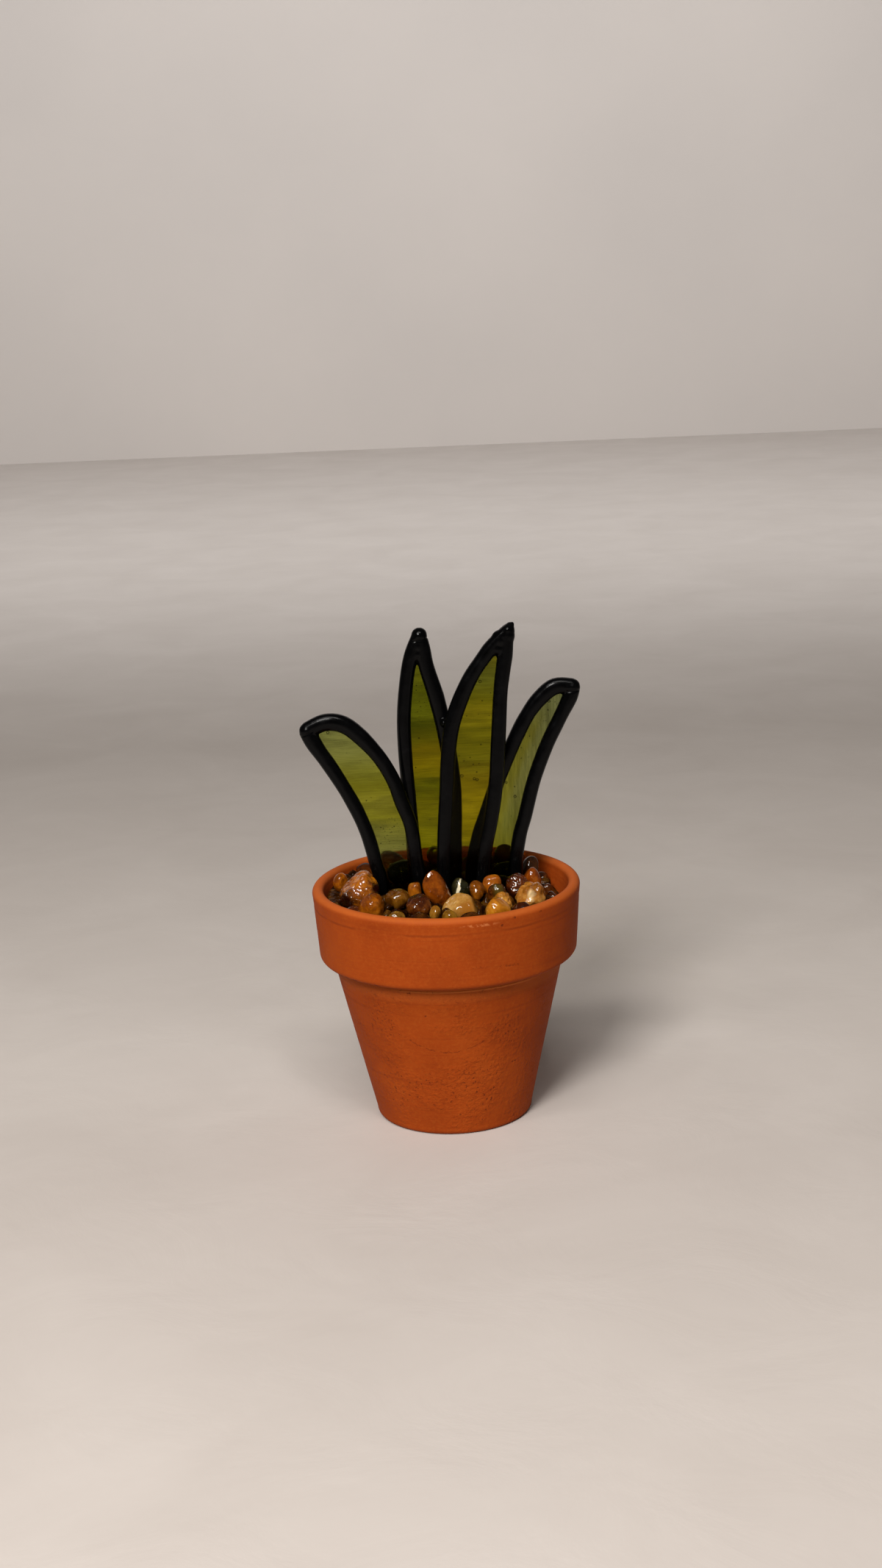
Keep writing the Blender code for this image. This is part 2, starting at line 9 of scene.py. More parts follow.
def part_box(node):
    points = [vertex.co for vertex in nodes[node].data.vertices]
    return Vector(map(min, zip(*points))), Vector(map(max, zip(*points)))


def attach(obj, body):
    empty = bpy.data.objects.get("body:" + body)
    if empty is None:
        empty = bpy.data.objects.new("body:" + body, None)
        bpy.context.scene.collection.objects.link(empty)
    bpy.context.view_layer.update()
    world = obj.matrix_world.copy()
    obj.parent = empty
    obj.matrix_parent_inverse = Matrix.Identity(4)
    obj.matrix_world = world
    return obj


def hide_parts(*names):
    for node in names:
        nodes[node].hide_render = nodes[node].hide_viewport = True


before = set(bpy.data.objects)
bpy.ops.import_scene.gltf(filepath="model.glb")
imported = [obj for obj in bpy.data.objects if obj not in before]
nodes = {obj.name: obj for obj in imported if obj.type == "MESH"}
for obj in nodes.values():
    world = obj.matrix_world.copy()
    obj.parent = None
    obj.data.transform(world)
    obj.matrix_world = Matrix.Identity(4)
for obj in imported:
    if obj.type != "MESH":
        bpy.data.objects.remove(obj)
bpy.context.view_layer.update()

MM = 0.001

# Clay pot
POT_HEIGHT = 71.0 * MM
RIM_RADIUS = 39.5 * MM
LIP_ROUND = 1.7 * MM
MOUTH_RADIUS = 36.1 * MM
BAND_BOTTOM = 49.5 * MM
BAND_BOTTOM_RADIUS = 38.2 * MM
BAND_EDGE_ROUND = 1.6 * MM
BODY_TOP_RADIUS = 34.3 * MM
BASE_RADIUS = 23.3 * MM
BASE_ROUND = 1.6 * MM
FLOOR = 5.0 * MM
FLOOR_RADIUS = 20.2 * MM
SHOULDER_TOP = (33.6 * MM, 52.0 * MM)
SHOULDER_BOTTOM = (30.4 * MM, 46.0 * MM)
DRAIN_RADIUS = 4.0 * MM
LIP_LINE = 66.2 * MM
POT_STEPS = 256
PROFILE_STEP = 1.0 * MM

# Leaves
GLASS = 3.0 * MM
BEAD_FIT = 0.53
BEAD_SQUARENESS = 2.4
BEAD_HALF_DEPTH = 2.28 * MM
TIP_HALF_DEPTH = 2.43 * MM
FOOT_HALF_WIDTH = 1.95 * MM
FRONT = -2.6 * MM
BACK = 2.6 * MM
BEAD_VOXEL = 0.285 * MM
BEAD_STATIONS = 90
BEAD_SIDES = 20

# The beads' centre lines, from the foot to the tip, as x and z in millimetres
LEAVES = {
    "leaf_1": {
        "layer": FRONT,
        "left": [(-19.0, 48), (-19.0, 70), (-20.3, 78), (-22.4, 87), (-25.9, 96), (-31.5, 106.5),
                 (-36.0, 113.7), (-38.3, 118.4)],
        "right": [(-7.8, 48), (-7.8, 70), (-8.6, 80), (-9.5, 88.6), (-11.9, 96), (-14.2, 103),
                  (-18.1, 110.1), (-23.4, 116.4), (-28.0, 119.9), (-33.0, 120.6), (-38.3, 118.4)],
        "left_width": [(48, 3.9), (103, 4.0), (112, 4.3), (116, 4.8)],
        "right_width": [(48, 3.9), (108, 4.0), (112, 4.2), (116, 4.6), (120, 4.8)],
        "tip_radius": 2.3,
    },
    "leaf_2": {
        "layer": BACK,
        "left": [(-9.1, 48), (-9.1, 70), (-9.2, 84), (-9.7, 95), (-10.3, 109.5), (-10.2, 120),
                 (-9.0, 130.6), (-7.4, 138), (-4.8, 144.0)],
        "right": [(2.6, 48), (2.6, 70), (3.1, 84), (3.4, 98), (1.9, 113), (-0.5, 125.4),
                  (-3.0, 134.5), (-3.9, 140), (-4.8, 144.0)],
        "left_width": [(48, 3.9), (140, 4.0)],
        "right_width": [(48, 4.0), (100, 4.5), (125, 4.5), (136, 4.3)],
        "tip_radius": 2.3,
    },
    "leaf_3": {
        "layer": FRONT,
        "left": [(-0.5, 48), (-0.5, 70), (0.1, 84), (1.3, 98), (2.4, 111), (4.4, 120.6),
                 (8.9, 131), (14.1, 138.5), (17.3, 142.4), (20.6, 145.6)],
        "right": [(10.4, 48), (10.4, 68), (12.0, 81), (14.0, 90), (15.8, 101), (16.9, 113.8),
                  (18.0, 127.5), (19.6, 138), (20.6, 145.6)],
        "left_width": [(48, 4.0), (110, 4.2), (126, 4.5), (136, 4.0), (140, 4.2), (146, 3.0)],
        "right_width": [(48, 4.0), (115, 4.2), (128, 4.0), (138, 4.4), (146, 3.4)],
        "tip_radius": 1.6,
    },
    "leaf_4": {
        "layer": BACK,
        "left": [(8.0, 48), (8.0, 71), (9.9, 81.9), (13.1, 91), (17.0, 101.5), (20.8, 110),
                 (25.3, 118.6), (29.4, 124), (34.0, 127.4), (39.1, 127.2)],
        "right": [(20.9, 48), (20.9, 72), (22.1, 82), (24.1, 89), (27.0, 99.6), (31.0, 109.9),
                  (35.4, 118.6), (38.2, 124), (39.1, 127.2)],
        "left_width": [(48, 4.0), (100, 4.3), (120, 4.2), (127, 4.6)],
        "right_width": [(48, 4.0), (118, 4.0), (124, 4.4)],
        "tip_radius": 2.25,
    },
}


def linked(name, data):
    """A new object for the data, in the scene."""
    made = bpy.data.objects.new(name, data)
    bpy.context.scene.collection.objects.link(made)
    return made


def mesh_piece(name, vertices, faces):
    mesh = bpy.data.meshes.new(name)
    mesh.from_pydata(vertices, [], faces)
    mesh.update()
    mesh.shade_smooth()
    return linked(name, mesh)


def copy_of_node(node, name):
    """A piece with the node's mesh, its doubled points joined and its materials taken off."""
    mesh = nodes[node].data.copy()
    mesh.materials.clear()
    bm = bmesh.new()
    bm.from_mesh(mesh)
    bmesh.ops.remove_doubles(bm, verts=bm.verts, dist=1e-6)
    bm.to_mesh(mesh)
    bm.free()
    return linked(name, mesh)


def made_real(piece):
    """Apply the modifiers."""
    depsgraph = bpy.context.evaluated_depsgraph_get()
    mesh = bpy.data.meshes.new_from_object(piece.evaluated_get(depsgraph))
    piece.modifiers.clear()
    piece.data = mesh
    return piece


def one_body(piece, voxel, rounds):
    """Join the piece's shapes into one even mesh, and relax it."""
    remesh = piece.modifiers.new("one_body", "REMESH")
    remesh.mode = "VOXEL"
    remesh.voxel_size = voxel
    relax = piece.modifiers.new("relax", "SMOOTH")
    relax.factor = 0.5
    relax.iterations = rounds
    return made_real(piece)


def on_root(piece, node, material):
    """The piece stands for a node of the frame, which is hidden, and gets the given material."""
    piece.data.materials.append(material)
    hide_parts(node)
    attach(piece, "root")


def move_out(piece, amount):
    """Move each vertex along its normal by what amount says for its place, and shade the piece smooth."""
    mesh = piece.data
    normals = [vertex.normal.copy() for vertex in mesh.vertices]
    for vertex, normal in zip(mesh.vertices, normals):
        vertex.co += normal * amount(vertex.co, normal)
    mesh.update()
    mesh.shade_smooth()


# Node materials

class Paint:
    """A node material, built up by short calls."""

    def __init__(self, name):
        self.material = bpy.data.materials.new(name)
        self.material.use_nodes = True
        self.tree = self.material.node_tree
        self.shader = self.tree.nodes["Principled BSDF"]
        self.place = self.tree.nodes.new("ShaderNodeTexCoord").outputs["Object"]

    def put(self, **values):
        """Set plain values on the shader's own sockets."""
        for key, value in values.items():
            socket = self.shader.inputs[key.replace("_", " ")]
            socket.default_value = (*value, 1.0) if socket.type == "RGBA" else value

    def join(self, output, socket):
        self.tree.links.new(output, self.shader.inputs[socket])

    def node(self, kind, inputs, **settings):
        """The outputs of a new node, with each given input linked or set."""
        made = self.tree.nodes.new(kind)
        for key, value in settings.items():
            setattr(made, key, value)
        for key, value in inputs.items():
            target = made.inputs[key]
            if isinstance(value, bpy.types.NodeSocket):
                self.tree.links.new(value, target)
            else:
                target.default_value = (*value, 1.0) if target.type == "RGBA" else value
        return made.outputs

    def scaled(self, scale, offset=(0, 0, 0), place=None):
        scale = scale if isinstance(scale, tuple) else (scale,) * 3
        inputs = {"Vector": place or self.place, "Scale": scale, "Location": offset}
        return self.node("ShaderNodeMapping", inputs)["Vector"]

    def noise(self, place, scale=1.0, detail=3.0, roughness=0.5, distortion=0.0, output="Fac"):
        inputs = {"Vector": place, "Scale": scale, "Detail": detail, "Roughness": roughness,
                  "Distortion": distortion}
        return self.node("ShaderNodeTexNoise", inputs)[output]

    def cells(self, place):
        """Distance to the middle of the nearest cell."""
        return self.node("ShaderNodeTexVoronoi", {"Vector": place, "Scale": 1.0})["Distance"]

    def math(self, operation, *values):
        return self.node("ShaderNodeMath", dict(enumerate(values)), operation=operation)[0]

    def plus(self, a, b):
        return self.math("ADD", a, b)

    def minus(self, a, b):
        return self.math("SUBTRACT", a, b)

    def times(self, a, b):
        return self.math("MULTIPLY", a, b)

    def most(self, a, b):
        return self.math("MAXIMUM", a, b)

    def apart(self, a, b):
        """How far one value is from the other."""
        return self.math("ABSOLUTE", self.minus(a, b))

    def swing(self, pattern, reach):
        """A noise as a swing to both sides of nought."""
        return self.times(self.minus(pattern, 0.5), reach)

    def span(self, value, low, high, to_low=0.0, to_high=1.0):
        """Map low..high to to_low..to_high, held at the ends, with a soft start and end."""
        inputs = {"Value": value, "From Min": low, "From Max": high, "To Min": to_low, "To Max": to_high}
        return self.node("ShaderNodeMapRange", inputs, interpolation_type="SMOOTHSTEP")["Result"]

    def mix(self, share, a, b, blend="MIX"):
        return self.node("ShaderNodeMix", {0: share, 6: a, 7: b}, data_type="RGBA", blend_type=blend)[2]

    def ramp(self, value, *stops):
        output = self.node("ShaderNodeValToRGB", {"Fac": value})["Color"]
        elements = output.node.color_ramp.elements
        while len(elements) < len(stops):
            elements.new(0.5)
        for element, (position, colour) in zip(elements, stops):
            element.position = position
            element.color = (*colour, 1.0)
        return output

    def split(self):
        return self.node("ShaderNodeSeparateXYZ", {"Vector": self.place})

    def vector(self, operation, *values):
        return self.node("ShaderNodeVectorMath", dict(enumerate(values)), operation=operation)

    def distance(self, place, x, y, z):
        """Distance from a place to a point that is given in millimetres."""
        return self.vector("DISTANCE", place, (x * MM, y * MM, z * MM))["Value"]

    def combine(self, x, y, z):
        return self.node("ShaderNodeCombineXYZ", {0: x, 1: y, 2: z})[0]

    def bump(self, height, distance, strength, under=None):
        inputs = {"Height": height, "Distance": distance, "Strength": strength}
        if under:
            inputs["Normal"] = under
        return self.node("ShaderNodeBump", inputs)["Normal"]


def shifted(seed):
    """A place far off for each seed, so that no two pieces share a pattern."""
    picker = random.Random(seed)
    return tuple(picker.uniform(-40, 40) for _ in range(3))


# Clay pot

def arc(centre, radius, start, end, count):
    """Points of an arc in a plane of radius and height, angles in degrees."""
    points = []
    for step in range(count + 1):
        angle = math.radians(start + (end - start) * step / count)
        points.append((centre[0] + radius * math.cos(angle), centre[1] + radius * math.sin(angle)))
    return points


def even(points, step):
    """The same line with stations no further apart than step."""
    filled = [points[0]]
    for a, b in zip(points, points[1:]):
        pieces = max(1, math.ceil(math.dist(a, b) / step))
        for k in range(1, pieces + 1):
            filled.append((a[0] + (b[0] - a[0]) * k / pieces, a[1] + (b[1] - a[1]) * k / pieces))
    return filled


def pot_profile():
    lip_out = arc((RIM_RADIUS - LIP_ROUND, POT_HEIGHT - LIP_ROUND), LIP_ROUND, 90, 0, 8)
    band_edge = arc(
        (BAND_BOTTOM_RADIUS - BAND_EDGE_ROUND, BAND_BOTTOM + BAND_EDGE_ROUND), BAND_EDGE_ROUND, 0, -90, 8
    )
    crease = [(BODY_TOP_RADIUS + 0.35 * MM, BAND_BOTTOM),
              (BODY_TOP_RADIUS - 0.02 * MM, BAND_BOTTOM - 0.40 * MM)]
    base_edge = arc((BASE_RADIUS - BASE_ROUND, BASE_ROUND), BASE_ROUND, 0, -90, 6)
    lip_in = arc((MOUTH_RADIUS + LIP_ROUND, POT_HEIGHT - LIP_ROUND), LIP_ROUND, 180, 90, 8)
    profile = lip_out + band_edge + crease + base_edge
    profile += [(DRAIN_RADIUS, 0.0), (DRAIN_RADIUS, FLOOR), (FLOOR_RADIUS, FLOOR)]
    profile += [SHOULDER_BOTTOM, SHOULDER_TOP] + lip_in[:-1]
    return even(profile, PROFILE_STEP)


def turning_marks(angle, radius, height):
    """How far the wall stands off its true profile, from the hands and the wheel."""
    lean = 0.10 * MM * noise.noise(Vector((math.cos(angle) * 1.3, math.sin(angle) * 1.3, height * 18)))
    rings = 0.035 * MM * noise.noise(Vector((math.cos(angle) * 0.5, math.sin(angle) * 0.5, height * 650)))
    step = 0.10 * MM * math.exp(-((height - LIP_LINE) / (0.45 * MM)) ** 2)
    share = min(1.0, height / (12 * MM))
    return (lean + rings) * share - (step if radius > MOUTH_RADIUS + LIP_ROUND else 0.0)


def make_pot():
    profile = pot_profile()
    vertices = []
    for radius, height in profile:
        for step in range(POT_STEPS):
            angle = 2 * math.pi * step / POT_STEPS
            off = 0.0
            if BASE_ROUND < height < POT_HEIGHT - LIP_ROUND and radius > BASE_RADIUS * 0.98:
                off = min(0.0, turning_marks(angle, radius, height) - 0.06 * MM)
            vertices.append(((radius + off) * math.cos(angle), (radius + off) * math.sin(angle), height))
    faces = []
    count = len(profile)
    for row in range(count):
        below = (row + 1) % count
        for step in range(POT_STEPS):
            side = (step + 1) % POT_STEPS
            faces.append((row * POT_STEPS + step, below * POT_STEPS + step,
                          below * POT_STEPS + side, row * POT_STEPS + side))
    pot = mesh_piece("clay_pot", vertices, faces)
    pot.data.set_sharp_from_angle(angle=math.radians(50))
    on_root(pot, "pot", clay())


# Millimetres along the wall for each degree round the pot, with 0 in front and positive to the right
WALL_STEP = 0.5

# Curved scratches as arcs on the rolled-out wall, in millimetres: middle, radius, then the arc's box
SCRATCHES = [
    ((-12.3, 32.3), 12.0, (-25.0, -16.0), (19.0, 35.0)),
    ((-1.0, 46.0), 18.0, (-13.6, 15.0), (27.0, 34.0)),
    ((6.0, 36.0), 15.7, (1.6, 17.6), (19.5, 25.5)),
    ((-22.0, 40.0), 21.0, (-22.5, -16.8), (18.0, 20.5)),
    ((4.0, -10.0), 66.0, (4.8, 15.4), (54.0, 57.0)),
    ((-8.5, 60.5), 5.7, (-13.6, -9.3), (54.0, 58.0)),
]

# Larger pits and chips: along the wall, height and radius in millimetres
CHIPS = [
    (20.0, 21.8, 0.42), (19.1, 21.6, 0.34), (-7.5, 17.8, 0.38), (-8.8, 18.6, 0.32), (-2.3, 13.4, 0.34),
    (-17.8, 32.5, 0.34), (18.2, 31.6, 0.38), (16.0, 32.5, 0.32), (-6.6, 40.1, 0.26), (1.0, 40.0, 0.26),
    (3.0, 21.3, 0.32), (6.2, 20.6, 0.36), (21.2, 69.1, 0.50), (14.4, 69.2, 0.36), (11.5, 67.7, 0.46),
    (-14.4, 12.0, 0.34), (9.4, 9.8, 0.30), (-22.5, 35.6, 0.36), (13.0, 14.5, 0.34),
]

# Where the fine pits crowd: along the wall, height and reach in millimetres
CROWDS = [(3.0, 14.0, 13.0), (-9.0, 14.0, 10.0), (-20.0, 37.0, 8.0), (16.0, 33.0, 8.0), (12.0, 17.0, 8.0)]


def fired_tones(paint, broad, fine):
    """The clay's colour in clouds and grains, with the marks of the turning."""
    base = paint.ramp(broad, (0.28, (0.255, 0.036, 0.0028)), (0.52, (0.315, 0.048, 0.0038)),
                      (0.74, (0.360, 0.061, 0.0055)))
    base = paint.mix(paint.span(fine, 0.40, 0.75, 0.0, 0.26), base, (0.43, 0.100, 0.014))
    marks = paint.noise(paint.scaled((22.0, 22.0, 900.0)), detail=2.0)
    return paint.mix(paint.span(marks, 0.60, 0.72, 0.0, 0.30), base, (0.20, 0.028, 0.004))


def front_ridge_and_highlight(paint, level, around, broad):
    """The ridge just under the band, in front. The same mask also paints a highlight on it."""
    ridge_and_highlight = paint.span(paint.apart(level, BAND_BOTTOM - 1.7 * MM), 0.45 * MM, 0.10 * MM, 0.0, 0.85)
    ridge_and_highlight = paint.times(ridge_and_highlight, paint.span(broad, 0.24, 0.44))
    return paint.times(ridge_and_highlight, paint.span(paint.apart(around, 4 * MM), 24 * MM, 12 * MM))


def pale_lip_and_painted_light(paint, level, ridge_and_highlight):
    """The lip, the ridge and the wall just under the band are paler: the lip partly from wear and partly as
    a painted highlight, the ridge as a painted highlight, and the wall under the band as painted light that
    lifts the band's shadow.
    """
    lip = paint.span(level, POT_HEIGHT - 1.8 * MM, POT_HEIGHT - 0.4 * MM, 0.0, 0.40)
    painted_light_under_band = paint.times(paint.span(level, 43.0 * MM, 46.5 * MM, 0.0, 0.25),
                             paint.math("LESS_THAN", level, BAND_BOTTOM))
    return paint.most(paint.most(lip, ridge_and_highlight), painted_light_under_band)


def lip_line_and_highlight(paint, base, level, wall, broad, fine):
    """The line that a tool left under the lip, and a painted highlight as a pale streak above it in front.
    """
    swung = paint.plus(level, paint.swing(broad, 1.1 * MM))
    tool_line = paint.span(paint.apart(swung, LIP_LINE), 0.50 * MM, 0.12 * MM, 0.0, 0.45)
    tool_line = paint.times(tool_line, paint.span(broad, 0.40, 0.56, 0.10, 1.0))
    base = paint.mix(tool_line, base, (0.135, 0.019, 0.003))
    # A painted highlight: a pale streak above the line, in front only
    highlight_streak = paint.distance(paint.scaled((0.12, 1.0, 1.0), place=wall), 0.8, LIP_LINE / MM + 2.5, 0)
    highlight_streak = paint.times(paint.span(highlight_streak, 0.60 * MM, 0.20 * MM), paint.span(fine, 0.42, 0.56, 0.0, 0.5))
    return paint.mix(highlight_streak, base, (0.62, 0.210, 0.070))


def crowding(paint, place, wall, level):
    """How thickly the fine pits lie."""
    crowd = paint.noise(place, scale=80.0, detail=4.0, roughness=0.7)
    for x, z, reach in CROWDS:
        away = paint.distance(wall, x, z, 0)
        crowd = paint.plus(crowd, paint.span(away, reach * MM, reach * 0.3 * MM, 0.0, 0.13))
    return paint.plus(crowd, paint.span(level, BAND_BOTTOM + 2 * MM, BAND_BOTTOM - 2 * MM, -0.10, 0.0))


def clay_pits(paint, wall, crowd, grains, ragged):
    """Fine pits of no even shape, and larger ones with ragged edges."""
    pits = paint.times(paint.span(grains, 0.60, 0.68), paint.span(crowd, 0.50, 0.68))
    for x, z, radius in CHIPS:
        away = paint.plus(paint.distance(wall, x, z, 0), ragged)
        pits = paint.most(pits, paint.span(away, radius * 0.9 * MM, radius * 0.2 * MM))
    return pits


def clay_scratches(paint, around, level, wall, ragged):
    scratches = 0.0
    for (x, z), radius, (left, right), (low, high) in SCRATCHES:
        away = paint.plus(paint.distance(wall, x, z, 0), paint.times(ragged, 1.1))
        line = paint.span(paint.apart(away, radius * MM), 0.20 * MM, 0.05 * MM)
        across = paint.math("COMPARE", around, (left + right) / 2 * MM, (right - left) / 2 * MM)
        upward = paint.math("COMPARE", level, (low + high) / 2 * MM, (high - low) / 2 * MM)
        scratches = paint.most(scratches, paint.times(line, paint.times(across, upward)))
    return scratches


def clay():
    paint = Paint("clay_fired")
    parts = paint.split()
    place = paint.scaled(1.0)
    level = parts[2]
    turn = paint.math("ARCTAN2", parts[0], paint.times(parts[1], -1.0))
    around = paint.times(turn, math.degrees(1.0) * WALL_STEP * MM)
    wall = paint.combine(around, level, 0.0)
    broad = paint.noise(place, scale=48.0, detail=5.0, roughness=0.6)
    fine = paint.noise(place, scale=1100.0, detail=4.0, roughness=0.65)
    ridge_and_highlight = front_ridge_and_highlight(paint, level, around, broad)
    base = fired_tones(paint, broad, fine)
    # Painted light: the pale lip, the painted highlight on the ridge and the lifted shadow under the band
    base = paint.mix(pale_lip_and_painted_light(paint, level, ridge_and_highlight), base, (0.50, 0.130, 0.026))
    base = lip_line_and_highlight(paint, base, level, wall, broad, fine)
    crowd = crowding(paint, place, wall, level)
    grains = paint.noise(place, scale=1250.0, roughness=0.55)
    ragged = paint.swing(grains, 1.8 * MM)
    # The scratches and the crack are broken here and there
    broken = paint.span(paint.noise(place, scale=420.0, detail=4.0, roughness=0.6), 0.44, 0.58)
    scratches = paint.times(clay_scratches(paint, around, level, wall, ragged), broken)
    dents = paint.most(clay_pits(paint, wall, crowd, grains, ragged), paint.times(scratches, 0.7))
    base = paint.mix(paint.times(dents, 0.66), base, (0.090, 0.012, 0.003))
    # A dark crack along the band's lower edge on the left
    crack = paint.apart(paint.plus(level, ragged), BAND_BOTTOM + 0.5 * MM)
    crack = paint.times(paint.span(crack, 0.30 * MM, 0.12 * MM), broken)
    crack = paint.times(crack, paint.math("COMPARE", around, -23 * MM, 8 * MM))
    base = paint.mix(paint.times(crack, 0.85), base, (0.030, 0.005, 0.002))
    # Painted shade in the crease under the band's overhang
    crease_shade = paint.span(paint.apart(level, BAND_BOTTOM - 0.3 * MM), 0.9 * MM, 0.2 * MM, 0.0, 0.7)
    paint.join(paint.mix(crease_shade, base, (0.13, 0.020, 0.004)), "Base Color")
    paint.join(paint.span(fine, 0.3, 0.7, 0.60, 0.80), "Roughness")
    paint.put(Specular_IOR_Level=0.08)
    normal = paint.bump(paint.noise(place, scale=2600.0, roughness=0.7), 0.06 * MM, 0.55)
    # The skin of the lower wall is pimpled where the fine pits crowd
    pimples = paint.noise(place, scale=950.0, detail=2.0, roughness=0.6)
    pimples = paint.times(pimples, paint.span(crowd, 0.44, 0.66, 0.10, 1.0))
    pimples = paint.times(pimples, paint.span(level, BAND_BOTTOM + MM, BAND_BOTTOM - 5 * MM, 0.25, 1.0))
    normal = paint.bump(pimples, 0.40 * MM, 0.85, normal)
    # Turning marks run round the pot, so they follow the height and hardly the angle
    swept = paint.noise(paint.scaled((9.0, 9.0, 1300.0)))
    normal = paint.bump(swept, 0.07 * MM, 0.7, normal)
    normal = paint.bump(ridge_and_highlight, 0.25 * MM, 0.6, normal)
    dents = paint.most(dents, crack)
    normal = paint.bump(paint.times(dents, -1.0), 0.12 * MM, 0.8, normal)
    paint.join(normal, "Normal")
    return paint.material


# Leaves

def smooth_line(points, count):
    """Even stations along a smooth curve through the points, in metres."""
    dense = []
    padded = [points[0]] + list(points) + [points[-1]]
    for i in range(1, len(padded) - 2):
        before, start, end, after = (Vector(padded[i + k]) * MM for k in (-1, 0, 1, 2))
        for step in range(16):
            t = step / 16
            dense.append(
                0.5 * (2 * start + (end - before) * t + (2 * before - 5 * start + 4 * end - after) * t ** 2
                       + (3 * start - before - 3 * end + after) * t ** 3)
            )
    dense.append(Vector(points[-1]) * MM)
    lengths = [0.0]
    for a, b in zip(dense, dense[1:]):
        lengths.append(lengths[-1] + (b - a).length)
    stations = []
    k = 0
    for i in range(count):
        wanted = lengths[-1] * i / (count - 1)
        while k < len(dense) - 2 and lengths[k + 1] < wanted:
            k += 1
        share = (wanted - lengths[k]) / (lengths[k + 1] - lengths[k])
        stations.append(dense[k].lerp(dense[k + 1], share))
    return stations


def rounded(value):
    """The cosine or sine of a section that is a little squarer than an ellipse."""
    return math.copysign(abs(value) ** (2 / BEAD_SQUARENESS), value)


def tube(stations, layer, widths, depths):
    """Vertices and faces of a closed bead along stations in the XZ plane."""
    vertices = []
    faces = []
    last = len(stations) - 1
    for i, point in enumerate(stations):
        along = (stations[min(i + 1, last)] - stations[max(i - 1, 0)]).normalized()
        across = Vector((-along.y, along.x))
        for k in range(BEAD_SIDES):
            angle = 2 * math.pi * k / BEAD_SIDES
            off = across * widths[i] * rounded(math.cos(angle))
            depth = depths[i] * rounded(math.sin(angle))
            vertices.append((point.x + off.x, layer + depth, point.y + off.y))
    for i in range(last):
        near, far = i * BEAD_SIDES, (i + 1) * BEAD_SIDES
        for k in range(BEAD_SIDES):
            n = (k + 1) % BEAD_SIDES
            faces.append((near + k, near + n, far + n, far + k))
    faces.append(tuple(range(BEAD_SIDES)))
    faces.append(tuple(last * BEAD_SIDES + k for k in reversed(range(BEAD_SIDES))))
    return vertices, faces


def ball(centre, radii):
    bm = bmesh.new()
    bmesh.ops.create_uvsphere(bm, u_segments=20, v_segments=12, radius=1.0)
    vertices = [tuple(c + r * v for c, r, v in zip(centre, radii, vertex.co)) for vertex in bm.verts]
    faces = [tuple(vertex.index for vertex in face.verts) for face in bm.faces]
    bm.free()
    return vertices, faces


def gathered(shapes):
    vertices = []
    faces = []
    for shape_vertices, shape_faces in shapes:
        start = len(vertices)
        vertices += shape_vertices
        faces += [tuple(start + v for v in face) for face in shape_faces]
    return vertices, faces


# Lumps of solder: leaf, x, depth off the leaf's plane, z, then half width, half depth and half height,
# in millimetres
LUMPS = [
    ("leaf_2", -4.6, 0, 144.2, 2.15, 2.35, 2.1),
    ("leaf_2", -5.3, 0, 141.0, 2.7, 2.3, 3.0),
    ("leaf_2", -5.6, 0, 138.8, 3.0, 2.2, 2.6),
    ("leaf_2", 1.3, -2.2, 118.4, 0.9, 1.5, 1.2),
    ("leaf_3", 18.2, 0, 142.6, 2.5, 2.36, 2.9),
    ("leaf_3", 19.2, 0, 143.9, 2.1, 2.30, 2.1),
    ("leaf_3", 20.6, 0, 143.9, 2.1, 2.36, 3.0),
    ("leaf_3", 21.2, 0, 145.2, 1.5, 2.10, 2.5),
    ("leaf_3", 22.0, 0, 146.9, 0.6, 0.70, 0.9),
    ("leaf_3", 17.4, 0, 140.2, 2.6, 2.30, 2.2),
    ("leaf_4", 37.6, 0, 127.2, 2.8, 2.36, 2.1),
]

# Seams where one run of solder meets another: leaf, then the x and z of both ends in millimetres
SEAMS = [
    ("leaf_1", -39.9, 117.0, -36.2, 118.6),
    ("leaf_2", -6.9, 142.6, -2.3, 143.3),
    ("leaf_4", 37.3, 126.0, 40.9, 126.2),
]
SEAM_DEPTH = 0.22 * MM
SEAM_WIDTH = 0.28 * MM


def width_at(widths, height):
    """Half the bead's width at a height in metres, from pairs of height and full width in millimetres."""
    level = height / MM
    for (low, first), (high, second) in zip(widths, widths[1:]):
        if level <= high:
            share = max(0.0, (level - low) / (high - low))
            return (first + (second - first) * share) * MM * BEAD_FIT
    return widths[-1][1] * MM * BEAD_FIT


def off_segment(point, start, end):
    """Distance from a point to a segment, in a plane."""
    along = end - start
    share = min(1.0, max(0.0, (point - start).dot(along) / along.length_squared))
    return (point - start - along * share).length


def solder_shapes(name, leaf, seed):
    """Both runs, the tip, the lumps and the foot, as shapes that still overlap."""
    layer = leaf["layer"]
    shapes = []
    for side in ("left", "right"):
        stations = smooth_line(leaf[side], BEAD_STATIONS)
        swings = [1 + 0.035 * noise.noise(Vector((i * 0.13, seed, len(side)))) for i in range(BEAD_STATIONS)]
        widths = [width_at(leaf[side + "_width"], at.y) * swing for at, swing in zip(stations, swings)]
        depths = [BEAD_HALF_DEPTH * (swing - 0.02) for swing in swings]
        shapes.append(tube(stations, layer, widths, depths))
    tip = leaf["left"][-1]
    radius = leaf["tip_radius"] * MM
    shapes.append(ball((tip[0] * MM, layer, tip[1] * MM), (radius, TIP_HALF_DEPTH, radius)))
    for owner, x, depth, z, half_width, half_depth, half_height in LUMPS:
        if owner == name:
            shapes.append(ball((x * MM, layer + depth * MM, z * MM),
                               (half_width * MM, half_depth * MM, half_height * MM)))
    foot = [Vector(leaf["left"][0]) * MM, Vector(leaf["right"][0]) * MM]
    shapes.append(tube(foot, layer, [FOOT_HALF_WIDTH] * 2, [BEAD_HALF_DEPTH] * 2))
    return shapes


